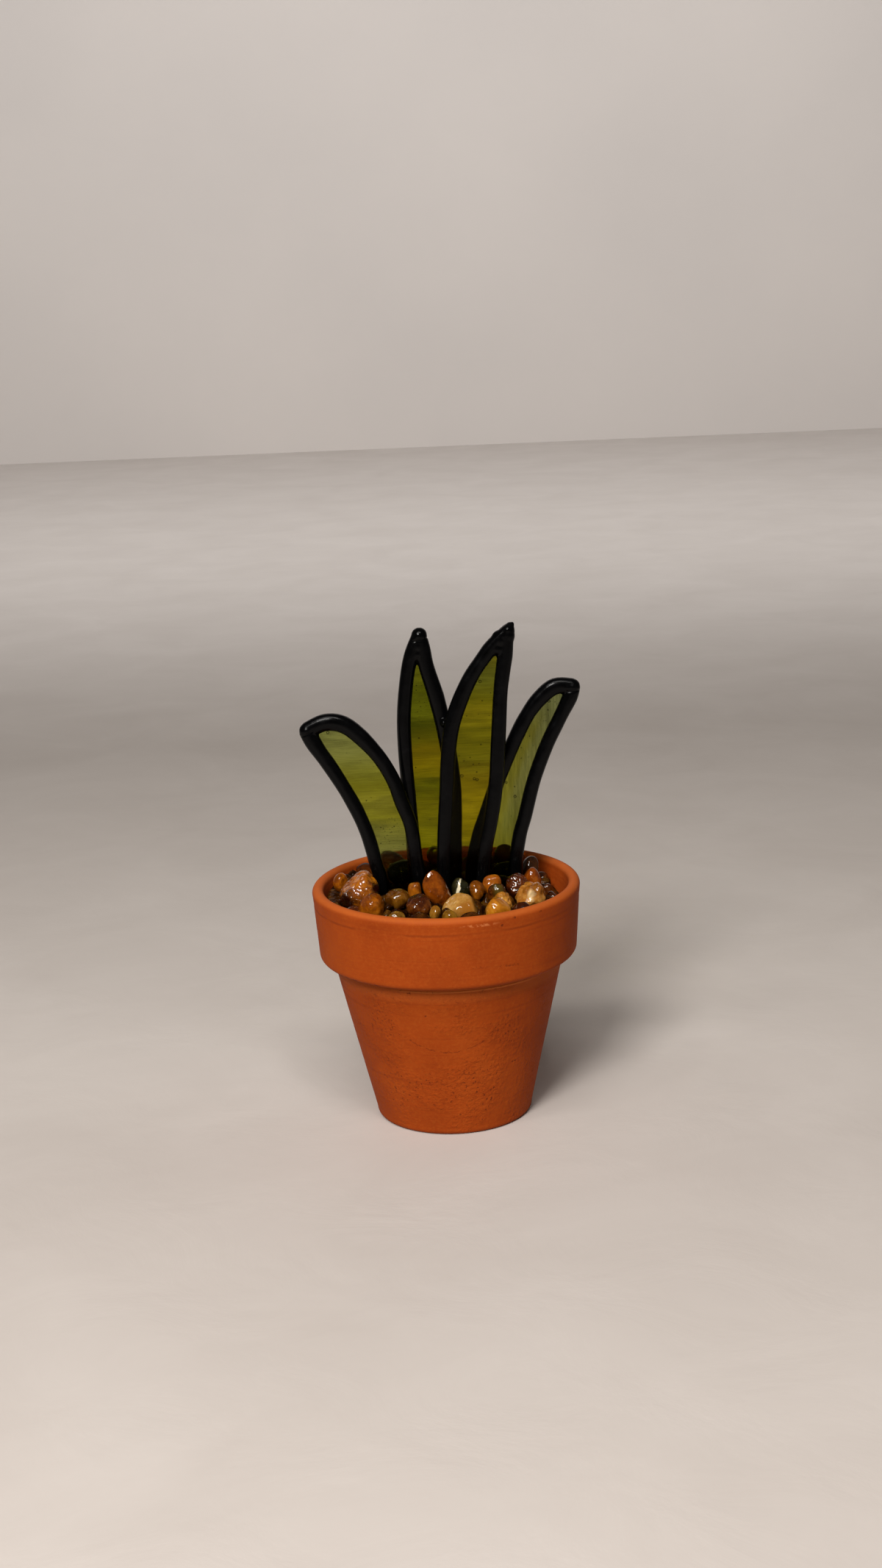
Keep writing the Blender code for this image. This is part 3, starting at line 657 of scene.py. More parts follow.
def make_solder(name, leaf):
    seed = sum(ord(letter) for letter in name)
    vertices, faces = gathered(solder_shapes(name, leaf, seed))
    piece = one_body(mesh_piece(name + "_bead", vertices, faces), BEAD_VOXEL, 5)
    seams = [(Vector((a, b)) * MM, Vector((c, d)) * MM) for owner, a, b, c, d in SEAMS if owner == name]

    def ripple(place, normal):
        slow = noise.noise(place * 190 + Vector((seed, 0, 0)))
        quick = noise.noise(place * 620 + Vector((0, seed, 0)))
        off = (0.035 * slow + 0.012 * quick - 0.015) * MM
        flat = Vector((place.x, place.z))
        for start, end in seams:
            off -= SEAM_DEPTH * math.exp(-((off_segment(flat, start, end) / SEAM_WIDTH) ** 2))
        return off

    move_out(piece, ripple)
    on_root(piece, name + "_solder", patina)


def black_patina():
    paint = Paint("black_patina")
    cloud = paint.noise(paint.scaled(260.0), detail=4.0, roughness=0.6)
    colour = paint.ramp(cloud, (0.35, (0.0008, 0.0008, 0.0009)), (0.62, (0.0012, 0.0012, 0.0014)),
                        (0.8, (0.0035, 0.0035, 0.0038)))
    worn = paint.noise(paint.scaled(1500.0), roughness=0.7)
    colour = paint.mix(paint.span(worn, 0.70, 0.82, 0.0, 0.25), colour, (0.030, 0.028, 0.027))
    paint.join(colour, "Base Color")
    paint.join(paint.span(cloud, 0.3, 0.75, 0.14, 0.26), "Roughness")
    paint.put(Specular_IOR_Level=0.105)
    small = paint.noise(paint.scaled(1700.0), roughness=0.6)
    normal = paint.bump(small, 0.02 * MM, 0.30)
    long_waves = paint.noise(paint.scaled(420.0), detail=2.0)
    paint.join(paint.bump(long_waves, 0.08 * MM, 0.35, normal), "Normal")
    return paint.material


PANE_ROWS = 110
PANE_COLUMNS = 22
PANE_SET_BACK = 0.035 * MM
PANE_RIPPLE = 0.03 * MM

# The sheet whose streaks run along the leaf
LENGTHWISE = "leaf_4"

# How far the marks in the glass are pulled out of round
JITTER = 0.30 * MM

# Each sheet's tint at heights in millimetres, from the foot upwards. The lowest stops of leaf_1 and leaf_3
# are darkened as painted shade, for the shaded back of the pot seen through them
GLASS_TINTS = {
    "leaf_1": [(80, (0.32, 0.34, 0.075)), (88, (0.34, 0.35, 0.052)), (91.5, (0.37, 0.37, 0.022)),
        (96, (0.49, 0.48, 0.044)), (101.5, (0.38, 0.38, 0.020)), (107, (0.43, 0.45, 0.056)),
        (112, (0.44, 0.48, 0.110)), (120, (0.43, 0.48, 0.130))],
    "leaf_2": [(80, (0.34, 0.33, 0.004)), (93, (0.29, 0.27, 0.004)), (99, (0.20, 0.21, 0.003)),
        (105, (0.40, 0.33, 0.004)), (110, (0.34, 0.27, 0.004)), (114, (0.21, 0.21, 0.004)),
        (117.8, (0.125, 0.14, 0.003)), (121, (0.24, 0.27, 0.008)), (128, (0.18, 0.21, 0.006)),
        (138, (0.25, 0.26, 0.014))],
    "leaf_3": [(80, (0.29, 0.25, 0.003)), (90, (0.43, 0.35, 0.003)), (98, (0.44, 0.35, 0.006)),
        (103, (0.36, 0.29, 0.008)), (108, (0.31, 0.29, 0.010)), (116, (0.33, 0.31, 0.008)),
        (121.5, (0.46, 0.40, 0.012)), (126, (0.29, 0.28, 0.008)), (131, (0.27, 0.29, 0.026)),
        (139, (0.24, 0.22, 0.012))],
    "leaf_4": [(80, (0.25, 0.25, 0.012)), (88, (0.27, 0.29, 0.045)), (98, (0.35, 0.37, 0.090)),
        (112, (0.35, 0.38, 0.105)), (120, (0.32, 0.36, 0.125)), (127, (0.30, 0.35, 0.140))],
}

# Air bubbles that show as dark rings: x, z and radius in millimetres
RINGS = {
    "leaf_1": [(-32.2, 117.9, 0.36)],
    "leaf_2": [],
    "leaf_3": [(12.2, 131.0, 0.36), (5.9, 103.4, 0.38), (9.5, 102.4, 0.34), (10.3, 102.1, 0.30)],
    "leaf_4": [(18.9, 99.6, 0.30), (21.3, 95.3, 0.34), (32.1, 123.3, 0.30)],
}

# Dark specks: x, z and radius in millimetres
SPECKS = {
    "leaf_1": [(-27.1, 111.6, 0.16), (-22.1, 97.2, 0.30), (-20.6, 98.1, 0.24), (-18.3, 88.9, 0.26),
        (-14.4, 89.1, 0.30), (-15.2, 87.4, 0.20), (-18.5, 84.1, 0.26), (-12.0, 83.6, 0.24)],
    "leaf_2": [(-6.2, 129.6, 0.30), (-6.3, 128.2, 0.24), (-6.2, 121.8, 0.20), (-6.1, 114.0, 0.34),
        (-7.4, 105.2, 0.32), (-7.7, 96.8, 0.32), (-4.0, 89.3, 0.26)],
    "leaf_3": [(12.6, 125.4, 0.30), (11.4, 121.4, 0.24), (8.0, 121.1, 0.24), (14.5, 121.0, 0.22),
        (11.8, 112.5, 0.36), (8.5, 108.8, 0.30), (6.7, 107.8, 0.28), (9.3, 106.7, 0.28),
        (11.0, 106.8, 0.24), (5.3, 109.4, 0.24), (10.3, 104.4, 0.36), (15.1, 127.6, 0.22)],
    "leaf_4": [(31.7, 120.8, 0.34), (26.1, 113.2, 0.28), (23.6, 109.9, 0.24), (23.5, 106.7, 0.24),
        (25.5, 107.0, 0.18), (21.3, 98.3, 0.32), (20.0, 89.4, 0.20), (21.2, 86.6, 0.34)],
}


def pane_faces(front, behind):
    """Faces of a sheet between rows of vertices on its front and its back."""
    faces = []
    for rows in (front, behind):
        for near, far in zip(rows, rows[1:]):
            for k in range(PANE_COLUMNS):
                face = (near[k], near[k + 1], far[k + 1], far[k])
                faces.append(face if rows is front else face[::-1])
    for i in range(len(front) - 1):
        faces.append((front[i][0], front[i + 1][0], behind[i + 1][0], behind[i][0]))
        faces.append((front[i + 1][-1], front[i][-1], behind[i][-1], behind[i + 1][-1]))
    for k in range(PANE_COLUMNS):
        faces.append((front[0][k + 1], front[0][k], behind[0][k], behind[0][k + 1]))
        faces.append((front[-1][k], front[-1][k + 1], behind[-1][k + 1], behind[-1][k]))
    return faces


def make_pane(name, leaf):
    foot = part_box(name + "_pane")[0].z
    left = smooth_line(leaf["left"], PANE_ROWS)
    right = smooth_line(leaf["right"], PANE_ROWS)
    kept = [i for i in range(PANE_ROWS) if (left[i] - right[i]).length > 1.2 * MM and i > 2]
    vertices = []
    across = []
    rows = []
    for side, face_sign in ((0, -1), (1, 1)):
        for i in kept:
            row = []
            for k in range(PANE_COLUMNS + 1):
                across.append(k / PANE_COLUMNS)
                point = left[i].lerp(right[i], k / PANE_COLUMNS)
                ripple = PANE_RIPPLE * noise.noise(Vector((point.x * 120, point.y * 330, side * 7.0)))
                y = leaf["layer"] + face_sign * (GLASS / 2 - PANE_SET_BACK + ripple)
                row.append(len(vertices))
                vertices.append((point.x, y, max(point.y, foot)))
            rows.append(row)
    faces = pane_faces(rows[:len(kept)], rows[len(kept):])
    piece = mesh_piece(name + "_sheet", vertices, faces)
    shares = piece.data.attributes.new("across", "FLOAT", "POINT")
    shares.data.foreach_set("value", across)
    piece.data.set_sharp_from_angle(angle=math.radians(40))
    on_root(piece, name + "_pane", streaky_glass(name))


def glass_tint(paint, name, level, waved):
    """The sheet's tint from foot to tip, swung by clouds and streaks."""
    cloud = paint.noise(paint.scaled((80.0, 80.0, 110.0), shifted(name + "cloud")), distortion=0.6)
    stops = GLASS_TINTS[name]
    low, high = stops[0][0] * MM, stops[-1][0] * MM
    share = paint.math("DIVIDE", paint.minus(level, low), high - low)
    share = paint.plus(share, paint.plus(paint.swing(cloud, 0.12), paint.swing(waved, 0.14)))
    tint = paint.ramp(share, *[((z * MM - low) / (high - low), colour) for z, colour in stops])
    if name == LENGTHWISE:
        across = paint.node("ShaderNodeAttribute", {}, attribute_name="across")["Fac"]
        olive = paint.span(paint.plus(across, paint.swing(waved, 0.5)), 0.62, 0.36, 0.0, 0.75)
        olive = paint.times(olive, paint.span(level, 123 * MM, 113 * MM, 0.15, 1.0))
        tint = paint.mix(olive, tint, (0.36, 0.35, 0.022))
    return tint


def glass_marks(paint, name, parts, seed):
    """Bubbles, specks and dust, a little out of round, on the front face only."""
    jumble = paint.noise(paint.place, scale=1400.0, detail=2.0, output="Color")
    flat = paint.combine(paint.minus(parts[0], JITTER / 2), 0.0, paint.minus(parts[2], JITTER / 2))
    bent = paint.vector("MULTIPLY_ADD", jumble, (JITTER, 0.0, JITTER), flat)[0]
    marks = 0.0
    for x, z, radius in RINGS[name]:
        band = paint.apart(paint.distance(bent, x, 0, z), radius * MM)
        marks = paint.most(marks, paint.span(band, 0.18 * MM, 0.08 * MM))
    for x, z, radius in SPECKS[name]:
        away = paint.distance(bent, x, 0, z)
        marks = paint.most(marks, paint.span(away, radius * MM, radius * 0.4 * MM))
    dust = paint.cells(paint.scaled(1350.0 if name == "leaf_1" else 1100.0, seed, place=bent))
    dusty = paint.span(paint.noise(paint.scaled(95.0, shifted(name + "dust"))), 0.60, 0.70)
    if name == "leaf_1":
        patch = paint.distance(bent, -15.8, 0, 89.2)
        dusty = paint.most(dusty, paint.span(patch, 4.6 * MM, 1.5 * MM))
    dust = paint.times(paint.span(dust, 0.30, 0.15), dusty)
    marks = paint.most(marks, paint.times(dust, 0.8))
    layer = LEAVES[name]["layer"]
    return paint.times(marks, paint.span(parts[1], layer, layer - MM))


def streaky_glass(name):
    paint = Paint(name + "_streaky_glass")
    seed = shifted(name)
    parts = paint.split()
    # Wavy streaks, drawn out along one way of the sheet
    stretch, hair = (45.0, 45.0, 300.0), (110.0, 110.0, 2000.0)
    if name == LENGTHWISE:
        stretch, hair = (330.0, 330.0, 50.0), (1500.0, 1500.0, 130.0)
    waved = paint.noise(paint.scaled(stretch, seed), detail=5.0, roughness=0.62, distortion=1.2)
    fine = paint.noise(paint.scaled(hair, seed), roughness=0.6, distortion=0.8)
    tint = glass_tint(paint, name, parts[2], waved)
    shade = paint.times(paint.span(waved, 0.32, 0.62, 0.74, 1.16), paint.span(fine, 0.38, 0.66, 1.10, 0.84))
    tint = paint.mix(1.0, tint, paint.combine(shade, shade, shade), "MULTIPLY")
    marks = glass_marks(paint, name, parts, seed)
    paint.join(paint.mix(paint.times(marks, 0.94), tint, (0.004, 0.004, 0.001)), "Base Color")
    paint.put(Transmission_Weight=1.0, Roughness=0.03, IOR=1.25, Specular_Tint=(0.25, 0.25, 0.25))
    normal = paint.bump(waved, 0.08 * MM, 0.5)
    paint.join(paint.bump(fine, 0.015 * MM, 0.4, normal), "Normal")
    return paint.material


# Pebbles

# Colours of each kind, from dark to light
STONE_TONES = {
    "amber": ((0.045, 0.010, 0.001), (0.17, 0.048, 0.002), (0.42, 0.15, 0.009)),
    "russet": ((0.050, 0.008, 0.001), (0.17, 0.032, 0.002), (0.32, 0.075, 0.004)),
    "brown": ((0.012, 0.003, 0.001), (0.055, 0.015, 0.002), (0.16, 0.055, 0.006)),
    "wine": ((0.008, 0.002, 0.001), (0.036, 0.007, 0.001), (0.12, 0.030, 0.004)),
    "cream": ((0.19, 0.085, 0.014), (0.38, 0.21, 0.055), (0.58, 0.40, 0.16)),
    "slate": ((0.004, 0.005, 0.002), (0.015, 0.017, 0.008), (0.060, 0.058, 0.032)),
}

# Stones of their own colour, by number
OWN_TONES = {
    1: ((0.050, 0.010, 0.001), (0.24, 0.075, 0.003), (0.56, 0.22, 0.010)),
    3: ((0.026, 0.008, 0.001), (0.085, 0.032, 0.002), (0.20, 0.095, 0.010)),
    7: ((0.055, 0.012, 0.001), (0.185, 0.048, 0.002), (0.33, 0.10, 0.005)),
    4: ((0.014, 0.003, 0.001), (0.055, 0.013, 0.002), (0.20, 0.070, 0.010)),
    5: ((0.050, 0.022, 0.002), (0.14, 0.075, 0.008), (0.34, 0.22, 0.040)),
    6: ((0.14, 0.040, 0.003), (0.34, 0.125, 0.008), (0.58, 0.28, 0.036)),
    8: ((0.19, 0.095, 0.015), (0.35, 0.21, 0.060), (0.55, 0.39, 0.17)),
    9: ((0.040, 0.016, 0.001), (0.12, 0.058, 0.004), (0.28, 0.16, 0.016)),
    10: ((0.060, 0.022, 0.002), (0.17, 0.075, 0.006), (0.34, 0.19, 0.030)),
    12: ((0.045, 0.012, 0.001), (0.13, 0.042, 0.002), (0.30, 0.11, 0.010)),
    14: ((0.18, 0.065, 0.004), (0.40, 0.17, 0.012), (0.60, 0.33, 0.045)),
    15: ((0.09, 0.032, 0.002), (0.28, 0.12, 0.010), (0.58, 0.32, 0.070)),
    16: ((0.075, 0.018, 0.001), (0.21, 0.060, 0.003), (0.37, 0.13, 0.010)),
    18: ((0.12, 0.040, 0.004), (0.28, 0.12, 0.018), (0.52, 0.32, 0.10)),
    20: ((0.070, 0.014, 0.001), (0.19, 0.046, 0.003), (0.42, 0.15, 0.018)),
    21: ((0.020, 0.007, 0.002), (0.060, 0.020, 0.003), (0.15, 0.055, 0.010)),
    # 25 and 29 are painted lighter than amber, as painted light that lifts the shade they lie in
    25: ((0.12, 0.035, 0.002), (0.38, 0.13, 0.006), (0.60, 0.27, 0.020)),
    29: ((0.12, 0.035, 0.002), (0.34, 0.11, 0.005), (0.56, 0.23, 0.016)),
}

# How far a painted glow raises the tone towards the lower right of a stone; a share below nought lowers it
PAINTED_GLOW = {8: -0.12, 7: 0.03, 2: 0.16, 5: 0.14}

# The way the painted glow climbs
PAINTED_GLOW_WAY = Vector((0.35, -0.35, -0.75))

# The resin takes some green and blue from every stone
WARMTH = (1.0, 0.93, 0.85)

# Stones up to LAST_SHOWN are seen, and those from FIRST_SCATTERED on are scattered. The scattered ones are
# painted darker as painted shade, most of all those behind the leaves
LAST_SHOWN = 28
FIRST_SCATTERED = 31
SHADED_REACH = 22 * MM
SHADED_SHARE = 0.42
SIDE_SHADE_SHARE = 0.8

# A patch of another colour on a stone: middle, reach and softness in millimetres, then its colour
PATCHES = {
    1: [((-32.0, -13.5, 68.0), 5.8, 1.5, (0.014, 0.003, 0.001)),
                  ((-17.0, -12.5, 72.0), 5.4, 1.6, (0.018, 0.003, 0.001))],
    8: [((6.0, -25.0, 69.0), 2.6, 1.6, (0.27, 0.11, 0.014))],
    13: [((15.0, -15.0, 71.5), 1.8, 1.0, (0.060, 0.042, 0.006))],
    18: [((24.0, -20.0, 71.2), 1.7, 0.9, (0.80, 0.68, 0.45))],
}

# Stones with a wrinkled coat, with a white vein, and with a lumpy shape
WRINKLED = {1: 1.0, 17: 1.0, 4: 0.35, 15: 0.7, 13: 0.4, 18: 0.4, 12: 0.4, 2: 0.35, 19: 0.5, 16: 0.3}
VEINED = {11}
LUMPY = {1: 0.8, 18: 1.6, 15: 1.3, 13: 0.8, 17: 0.6, 4: 0.4, 2: 0.3, 12: 0.5, 5: 0.6, 8: 0.15}

# Faces worn onto a stone: which way each one looks, and how far out it lies as a share of the stone
WORN_FACES = {
    1: [((-0.55, -0.3, 0.78), 0.86), ((0.75, -0.3, 0.55), 0.82)],
    2: [((0.1, -0.3, 0.95), 0.84), ((-0.9, -0.3, 0.2), 0.86), ((0.92, -0.3, 0.1), 0.84)],
    4: [((-0.4, -0.3, 0.85), 0.85), ((0.5, -0.8, 0.3), 0.86)],
    7: [((0.85, -0.4, 0.35), 0.84), ((0.0, -0.9, 0.3), 0.86)],
    8: [((-0.62, -0.25, 0.74), 0.58), ((0.95, -0.2, 0.25), 0.80), ((0.15, -0.85, 0.45), 0.86),
        ((0.12, -0.1, 0.98), 0.88)],
    14: [((0.62, -0.2, 0.74), 0.84), ((-0.95, -0.2, 0.1), 0.88)],
    17: [((0.2, -0.4, 0.88), 0.82), ((-0.8, -0.5, 0.2), 0.84)],
    18: [((-0.70, -0.3, 0.64), 0.78), ((0.97, -0.2, 0.10), 0.80), ((0.05, -0.2, 0.97), 0.76),
        ((0.1, -0.95, 0.1), 0.84)],
}
WORN_FACE_COUNT = 7
FACE_SOFTNESS = 0.055

# The rounding takes some size off a stone, so its mesh is swollen first
SWELL = 1.06
BOX_DIAGONAL = 1.732


def number_of(name):
    return int(name[-2:])


def worn_faces(name):
    picker = random.Random(name + "faces")
    faces = [(Vector(way).normalized(), share) for way, share in WORN_FACES.get(number_of(name), [])]
    for _ in range(WORN_FACE_COUNT - len(faces)):
        way = Vector([picker.gauss(0, 1) for _ in range(3)]).normalized()
        faces.append((way, picker.uniform(0.80, 0.95)))
    return faces


def stone_tones(name, kind, centre):
    """The stone's dark, middle and light tone, with painted shade on the scattered stones."""
    share = 1.0
    if number_of(name) >= FIRST_SCATTERED:
        share = SHADED_SHARE if abs(centre.x) < SHADED_REACH else SIDE_SHADE_SHARE
    tones = OWN_TONES.get(number_of(name), STONE_TONES[kind])
    return [tuple(part * share * warm for part, warm in zip(tone, WARMTH)) for tone in tones]


def white_vein(paint, colour, broad):
    parts = paint.split()
    slant = paint.times(paint.minus(parts[2], 72 * MM), -0.35)
    across = paint.plus(paint.plus(parts[0], paint.swing(broad, 3.0 * MM)), slant)
    away = paint.apart(across, 3.9 * MM)
    return paint.mix(paint.span(away, 0.34 * MM, 0.14 * MM), colour, (0.72, 0.72, 0.64))


def resin_coat(paint, number, place):
    """The resin lies in soft waves, and in tight folds on the wrinkled stones."""
    wrinkle = WRINKLED.get(number, 0.0)
    paint.put(Coat_Weight=1.0 if number < FIRST_SCATTERED else 0.4, Coat_Roughness=0.02,
              Coat_IOR=1.8 if wrinkle >= 0.7 else 1.55, Coat_Tint=(0.98, 0.86, 0.66))
    waves = paint.noise(place, scale=400.0, detail=1.5, distortion=0.6)
    coat = paint.bump(waves, 0.36 * MM, 0.7)
    if wrinkle:
        folds = paint.noise(place, scale=430.0, detail=0.5, roughness=0.4, distortion=1.0)
        coat = paint.bump(paint.times(paint.apart(folds, 0.5), -1.0), 1.3 * MM * wrinkle, 1.0, coat)
    paint.join(coat, "Coat Normal")


def pebble_paint(name, kind):
    number = number_of(name)
    low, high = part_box(name)
    centre = (low + high) / 2
    size = (high - low).length / 2
    dark, middle, light = stone_tones(name, kind, centre)
    paint = Paint(name + "_coated")
    place = paint.scaled(1.0, shifted(name))
    broad = paint.noise(place, scale=150.0, detail=5.0, roughness=0.6, distortion=0.5)
    grain = paint.noise(place, scale=800.0, detail=5.0, roughness=0.7)
    tone = paint.plus(paint.times(broad, 0.70), paint.times(grain, 0.30))
    # Painted glow: the tone climbs low on the right, away from the light, standing in for light that comes
    # through the resin
    painted_glow = paint.vector("DOT_PRODUCT", paint.place, PAINTED_GLOW_WAY)["Value"]
    painted_glow = paint.minus(painted_glow, centre.dot(PAINTED_GLOW_WAY))
    tone = paint.plus(tone, paint.times(painted_glow, PAINTED_GLOW.get(number, 0.10) / size))
    colour = paint.ramp(tone, (0.36, dark), (0.49, middle), (0.64, light))
    flecks = paint.span(paint.noise(place, scale=1500.0, detail=2.0), 0.62, 0.72, 0.0, 0.5)
    colour = paint.mix(flecks, colour, dark)
    if number in VEINED:
        colour = white_vein(paint, colour, broad)
    for spot, reach, softness, patch in PATCHES.get(number, []):
        away = paint.plus(paint.distance(paint.place, *spot), paint.swing(broad, 7.0 * MM))
        colour = paint.mix(paint.span(away, (reach + softness) * MM, (reach - softness) * MM), colour, patch)
    paint.join(colour, "Base Color")
    paint.put(Roughness=0.6, Specular_IOR_Level=0.0)
    if kind in ("amber", "cream", "russet"):
        paint.put(Subsurface_Weight=0.2, Subsurface_Scale=1.0)
        paint.put(Subsurface_Radius=(1.4 * MM, 0.5 * MM, 0.15 * MM))
    paint.join(paint.bump(grain, 0.15 * MM, 0.5), "Normal")
    resin_coat(paint, number, place)
    return paint.material


def fineness(name):
    """How often a stone's mesh is divided."""
    if WRINKLED.get(number_of(name), 0) > 0.4:
        return 4
    return 3 if number_of(name) <= LAST_SHOWN else 2


def wear(piece, name, centre, size):
    """Press soft flat faces into the stone."""
    soft = FACE_SOFTNESS * size
    for way, share in worn_faces(name):
        reach = max((vertex.co - centre).dot(way) for vertex in piece.data.vertices)
        for vertex in piece.data.vertices:
            over = (vertex.co - centre).dot(way) - reach * share
            vertex.co -= way * soft * math.log1p(math.exp(min(30.0, over / soft)))
    piece.data.update()


def make_pebble(name, kind):
    low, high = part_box(name)
    centre = (low + high) / 2
    size = (high - low).length / BOX_DIAGONAL
    piece = copy_of_node(name, name + "_stone")
    piece.data.transform(Matrix.Translation(centre) @ Matrix.Scale(SWELL, 4) @ Matrix.Translation(-centre))
    rounder = piece.modifiers.new("rounder", "SUBSURF")
    rounder.levels = rounder.render_levels = fineness(name)
    piece = made_real(piece)
    wear(piece, name, centre, size)
    seed = Vector(shifted(name + "shape"))
    lumps = LUMPY.get(number_of(name), 0.12)
    wrinkle = WRINKLED.get(number_of(name), 0.0)

    def shape(place, normal):
        local = (place - centre) / size
        slow = noise.noise(local * 2.1 + seed)
        lump = noise.noise(local * 5.0 + seed)
        fold = 0.0
        if wrinkle:
            sway = Vector((noise.noise(place * 420 + seed), noise.noise(place * 420 - seed), 0.0))
            fold = 1.4 * noise.noise((place + sway * 0.9 * MM) * 480 + seed)
        return size * (0.028 * slow + 0.05 * lumps * lump - 0.012) + 0.12 * MM * wrinkle * fold

    move_out(piece, shape)
    for vertex in piece.data.vertices:
        for axis in range(3):
            vertex.co[axis] = min(max(vertex.co[axis], low[axis] - 0.05 * MM), high[axis] + 0.05 * MM)
    on_root(piece, name, pebble_paint(name, kind))


def kinds_of_pebbles():
    """The kind of each pebble, from the name of its material slot."""
    kinds = {}
    for name, node in nodes.items():
        if name.startswith("pebble_"):
            kinds[name] = node.data.materials[0].name.split(".")[0].replace("stone_", "")
    return kinds


# Grit bed

GRIT_VOXEL = 0.50 * MM


def make_grit():
    piece = one_body(copy_of_node("grit_bed", "grit_surface"), GRIT_VOXEL, 24)

    def gravel(place, normal):
        if normal.z < 0.1:
            return 0.0
        distances, _points = noise.voronoi(place * 460)
        return (0.30 - 0.75 * min(distances[0], 0.8)) * MM * normal.z

    move_out(piece, gravel)
    on_root(piece, "grit_bed", grit_paint())


def grit_paint():
    paint = Paint("wet_grit")
    place = paint.scaled(1.0)
    shade = paint.noise(place, scale=240.0, roughness=0.6, distortion=0.6)
    # The grit is very dark, partly as its own dark resin and partly as painted shade between the stones
    grit_and_shade = paint.ramp(shade, (0.34, (0.006, 0.002, 0.001)), (0.46, (0.024, 0.007, 0.001)),
                        (0.56, (0.060, 0.018, 0.002)), (0.68, (0.10, 0.042, 0.005)))
    grain = paint.noise(place, scale=1300.0, roughness=0.6)
    grit_and_shade = paint.mix(paint.span(grain, 0.42, 0.60, 0.55, 0.0), grit_and_shade, (0.006, 0.002, 0.001))
    paint.join(grit_and_shade, "Base Color")
    paint.put(Roughness=0.6, Specular_IOR_Level=0.0, Coat_Weight=0.20, Coat_Roughness=0.08)
    paint.join(paint.bump(grain, 0.25 * MM, 0.6), "Normal")
    soft = paint.noise(place, scale=520.0, detail=1.0)
    paint.join(paint.bump(soft, 0.3 * MM, 0.6), "Coat Normal")
    return paint.material


def plaster_paint():
    paint = Paint("cast_plaster")
    cloud = paint.noise(paint.scaled(160.0), detail=5.0, roughness=0.6)
    paint.join(paint.ramp(cloud, (0.3, (0.50, 0.47, 0.42)), (0.7, (0.68, 0.66, 0.61))), "Base Color")
    paint.join(paint.span(cloud, 0.3, 0.7, 0.78, 0.92), "Roughness")
    holes = paint.span(paint.cells(paint.scaled(500.0)), 0.24, 0.14)
    normal = paint.bump(paint.times(holes, -1.0), 0.3 * MM, 0.8)
    paint.join(paint.bump(cloud, 0.15 * MM, 0.4, normal), "Normal")
    return paint.material


# Stage, light and camera

STAGE_REACH = 4.0
WALL_AT = 2.26
WALL_TOP = 3.0


def floor_cloth():
    paint = Paint("floor_cloth")
    cloud = paint.noise(paint.scaled(14.0), detail=6.0, roughness=0.6, distortion=0.5)
    cloth = paint.ramp(cloud, (0.3, (0.56, 0.51, 0.475)), (0.7, (0.61, 0.56, 0.525)))
    # The cloth has painted shade near the pot, and is painted dark in front of the picture as painted shade
    # for a dim room
    depth = paint.split()[1]
    cloth = paint.mix(paint.span(depth, 0.06, -0.05, 0.0, 0.17), cloth, (0.24, 0.195, 0.175))
    front_shade = paint.span(depth, -0.30, -0.42, 0.0, 0.7)
    paint.join(paint.mix(front_shade, cloth, (0.08, 0.075, 0.07)), "Base Color")
    paint.put(Roughness=0.75)
    crumple = paint.noise(paint.scaled(22.0), detail=5.0, roughness=0.55, distortion=1.0)
    paint.join(paint.bump(crumple, 2.0 * MM, 0.25), "Normal")
    return paint.material


def wall_paper():
    paint = Paint("wall_paper")
    cloud = paint.noise(paint.scaled(3.0), detail=4.0)
    paint.join(paint.ramp(cloud, (0.3, (0.60, 0.555, 0.525)), (0.7, (0.64, 0.59, 0.555))), "Base Color")
    paint.put(Roughness=0.9)
    return paint.material


def make_stage():
    left, right = -STAGE_REACH, STAGE_REACH
    ground = [(left, left, 0), (right, left, 0), (right, WALL_AT, 0), (left, WALL_AT, 0)]
    sheet = [(left, WALL_AT, 0), (right, WALL_AT, 0), (right, WALL_AT, WALL_TOP), (left, WALL_AT, WALL_TOP)]
    floor = mesh_piece("stage_floor", ground, [(0, 1, 2, 3)])
    wall = mesh_piece("stage_wall", sheet, [(0, 1, 2, 3)])
    floor.data.materials.append(floor_cloth())
    wall.data.materials.append(wall_paper())


def soft_light(name, place, behind, size, power, colour):
    """A rectangle of light. It shines the other way from behind."""
    data = bpy.data.lights.new(name, "AREA")
    data.shape = "RECTANGLE"
    data.size, data.size_y = size
    data.energy = power
    data.color = colour
    light = linked(name, data)
    light.location = place
    light.rotation_mode = "QUATERNION"
    light.rotation_quaternion = behind.to_track_quat("Z", "Y")


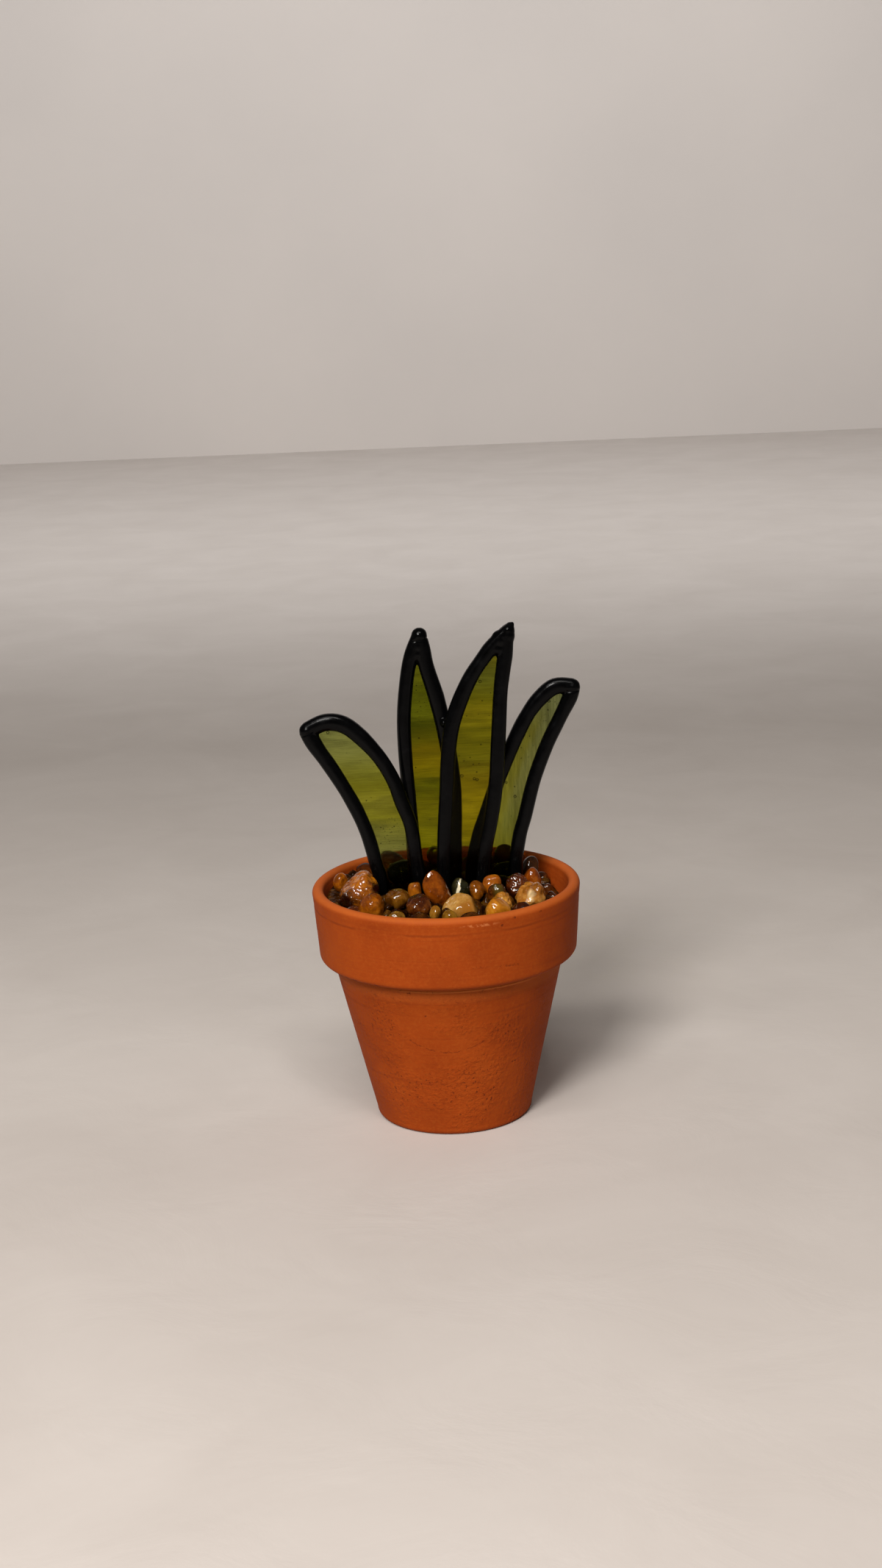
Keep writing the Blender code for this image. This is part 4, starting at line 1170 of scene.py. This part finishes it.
def lamp(name, azimuth, elevation, distance, size, power, colour=(1.0, 0.97, 0.93)):
    """A soft light that looks at the object. Azimuth 0 is in front, and positive is to the right."""
    a, e = math.radians(azimuth), math.radians(elevation)
    target = Vector((0, 0, 80 * MM))
    away = Vector((math.sin(a) * math.cos(e), -math.cos(a) * math.cos(e), math.sin(e)))
    soft_light(name, target + away * distance, away, size, power, colour)


def make_light():
    lamp("key", -18, 37, 1.05, (0.28, 0.28), 10.1, (1.0, 0.965, 0.92))
    lamp("ceiling", -6, 60, 1.0, (0.50, 0.15), 4.2)
    # Small lamps that hardly light the room, but sparkle in the wet coats
    lamp("lamp_left", -42, 50, 1.0, (0.08, 0.08), 0.55)
    lamp("lamp_right", 14, 47, 1.0, (0.07, 0.07), 0.45)
    soft_light("wall_light", (0.0, 0.95, 1.1), Vector((0.0, -0.93, 0.37)), (2.2, 0.8), 20.0, (1, 1, 1))
    world = bpy.data.worlds.new("room")
    bpy.context.scene.world = world
    world.use_nodes = True
    background = world.node_tree.nodes["Background"]
    background.inputs["Color"].default_value = (1.0, 0.91, 0.80, 1.0)
    background.inputs["Strength"].default_value = 0.08


def make_camera():
    data = bpy.data.cameras.new("photo_view")
    data.lens = 50.0
    data.sensor_width = 36.0
    data.clip_start = 0.01
    data.clip_end = 20.0
    camera = linked("photo_view", data)
    right = Vector((0.99913732, -0.00991576, -0.04032736))
    up = Vector((0.04152852, 0.23856393, 0.97023844))
    back = Vector((0.0, -0.97107617, 0.23876992))
    place = Vector((-0.00021952, -0.61757379, 0.25209351))
    camera.matrix_world = Matrix.Translation(place) @ Matrix((right, up, back)).transposed().to_4x4()
    bpy.context.scene.camera = camera


patina = black_patina()
make_pot()
for leaf_name, leaf_facts in LEAVES.items():
    make_solder(leaf_name, leaf_facts)
    make_pane(leaf_name, leaf_facts)
for pebble_name, pebble_kind in sorted(kinds_of_pebbles().items()):
    make_pebble(pebble_name, pebble_kind)
make_grit()
nodes["plaster_fill"].data.materials[0] = plaster_paint()
make_stage()
make_light()
make_camera()
bpy.context.scene.view_settings.view_transform = "Standard"
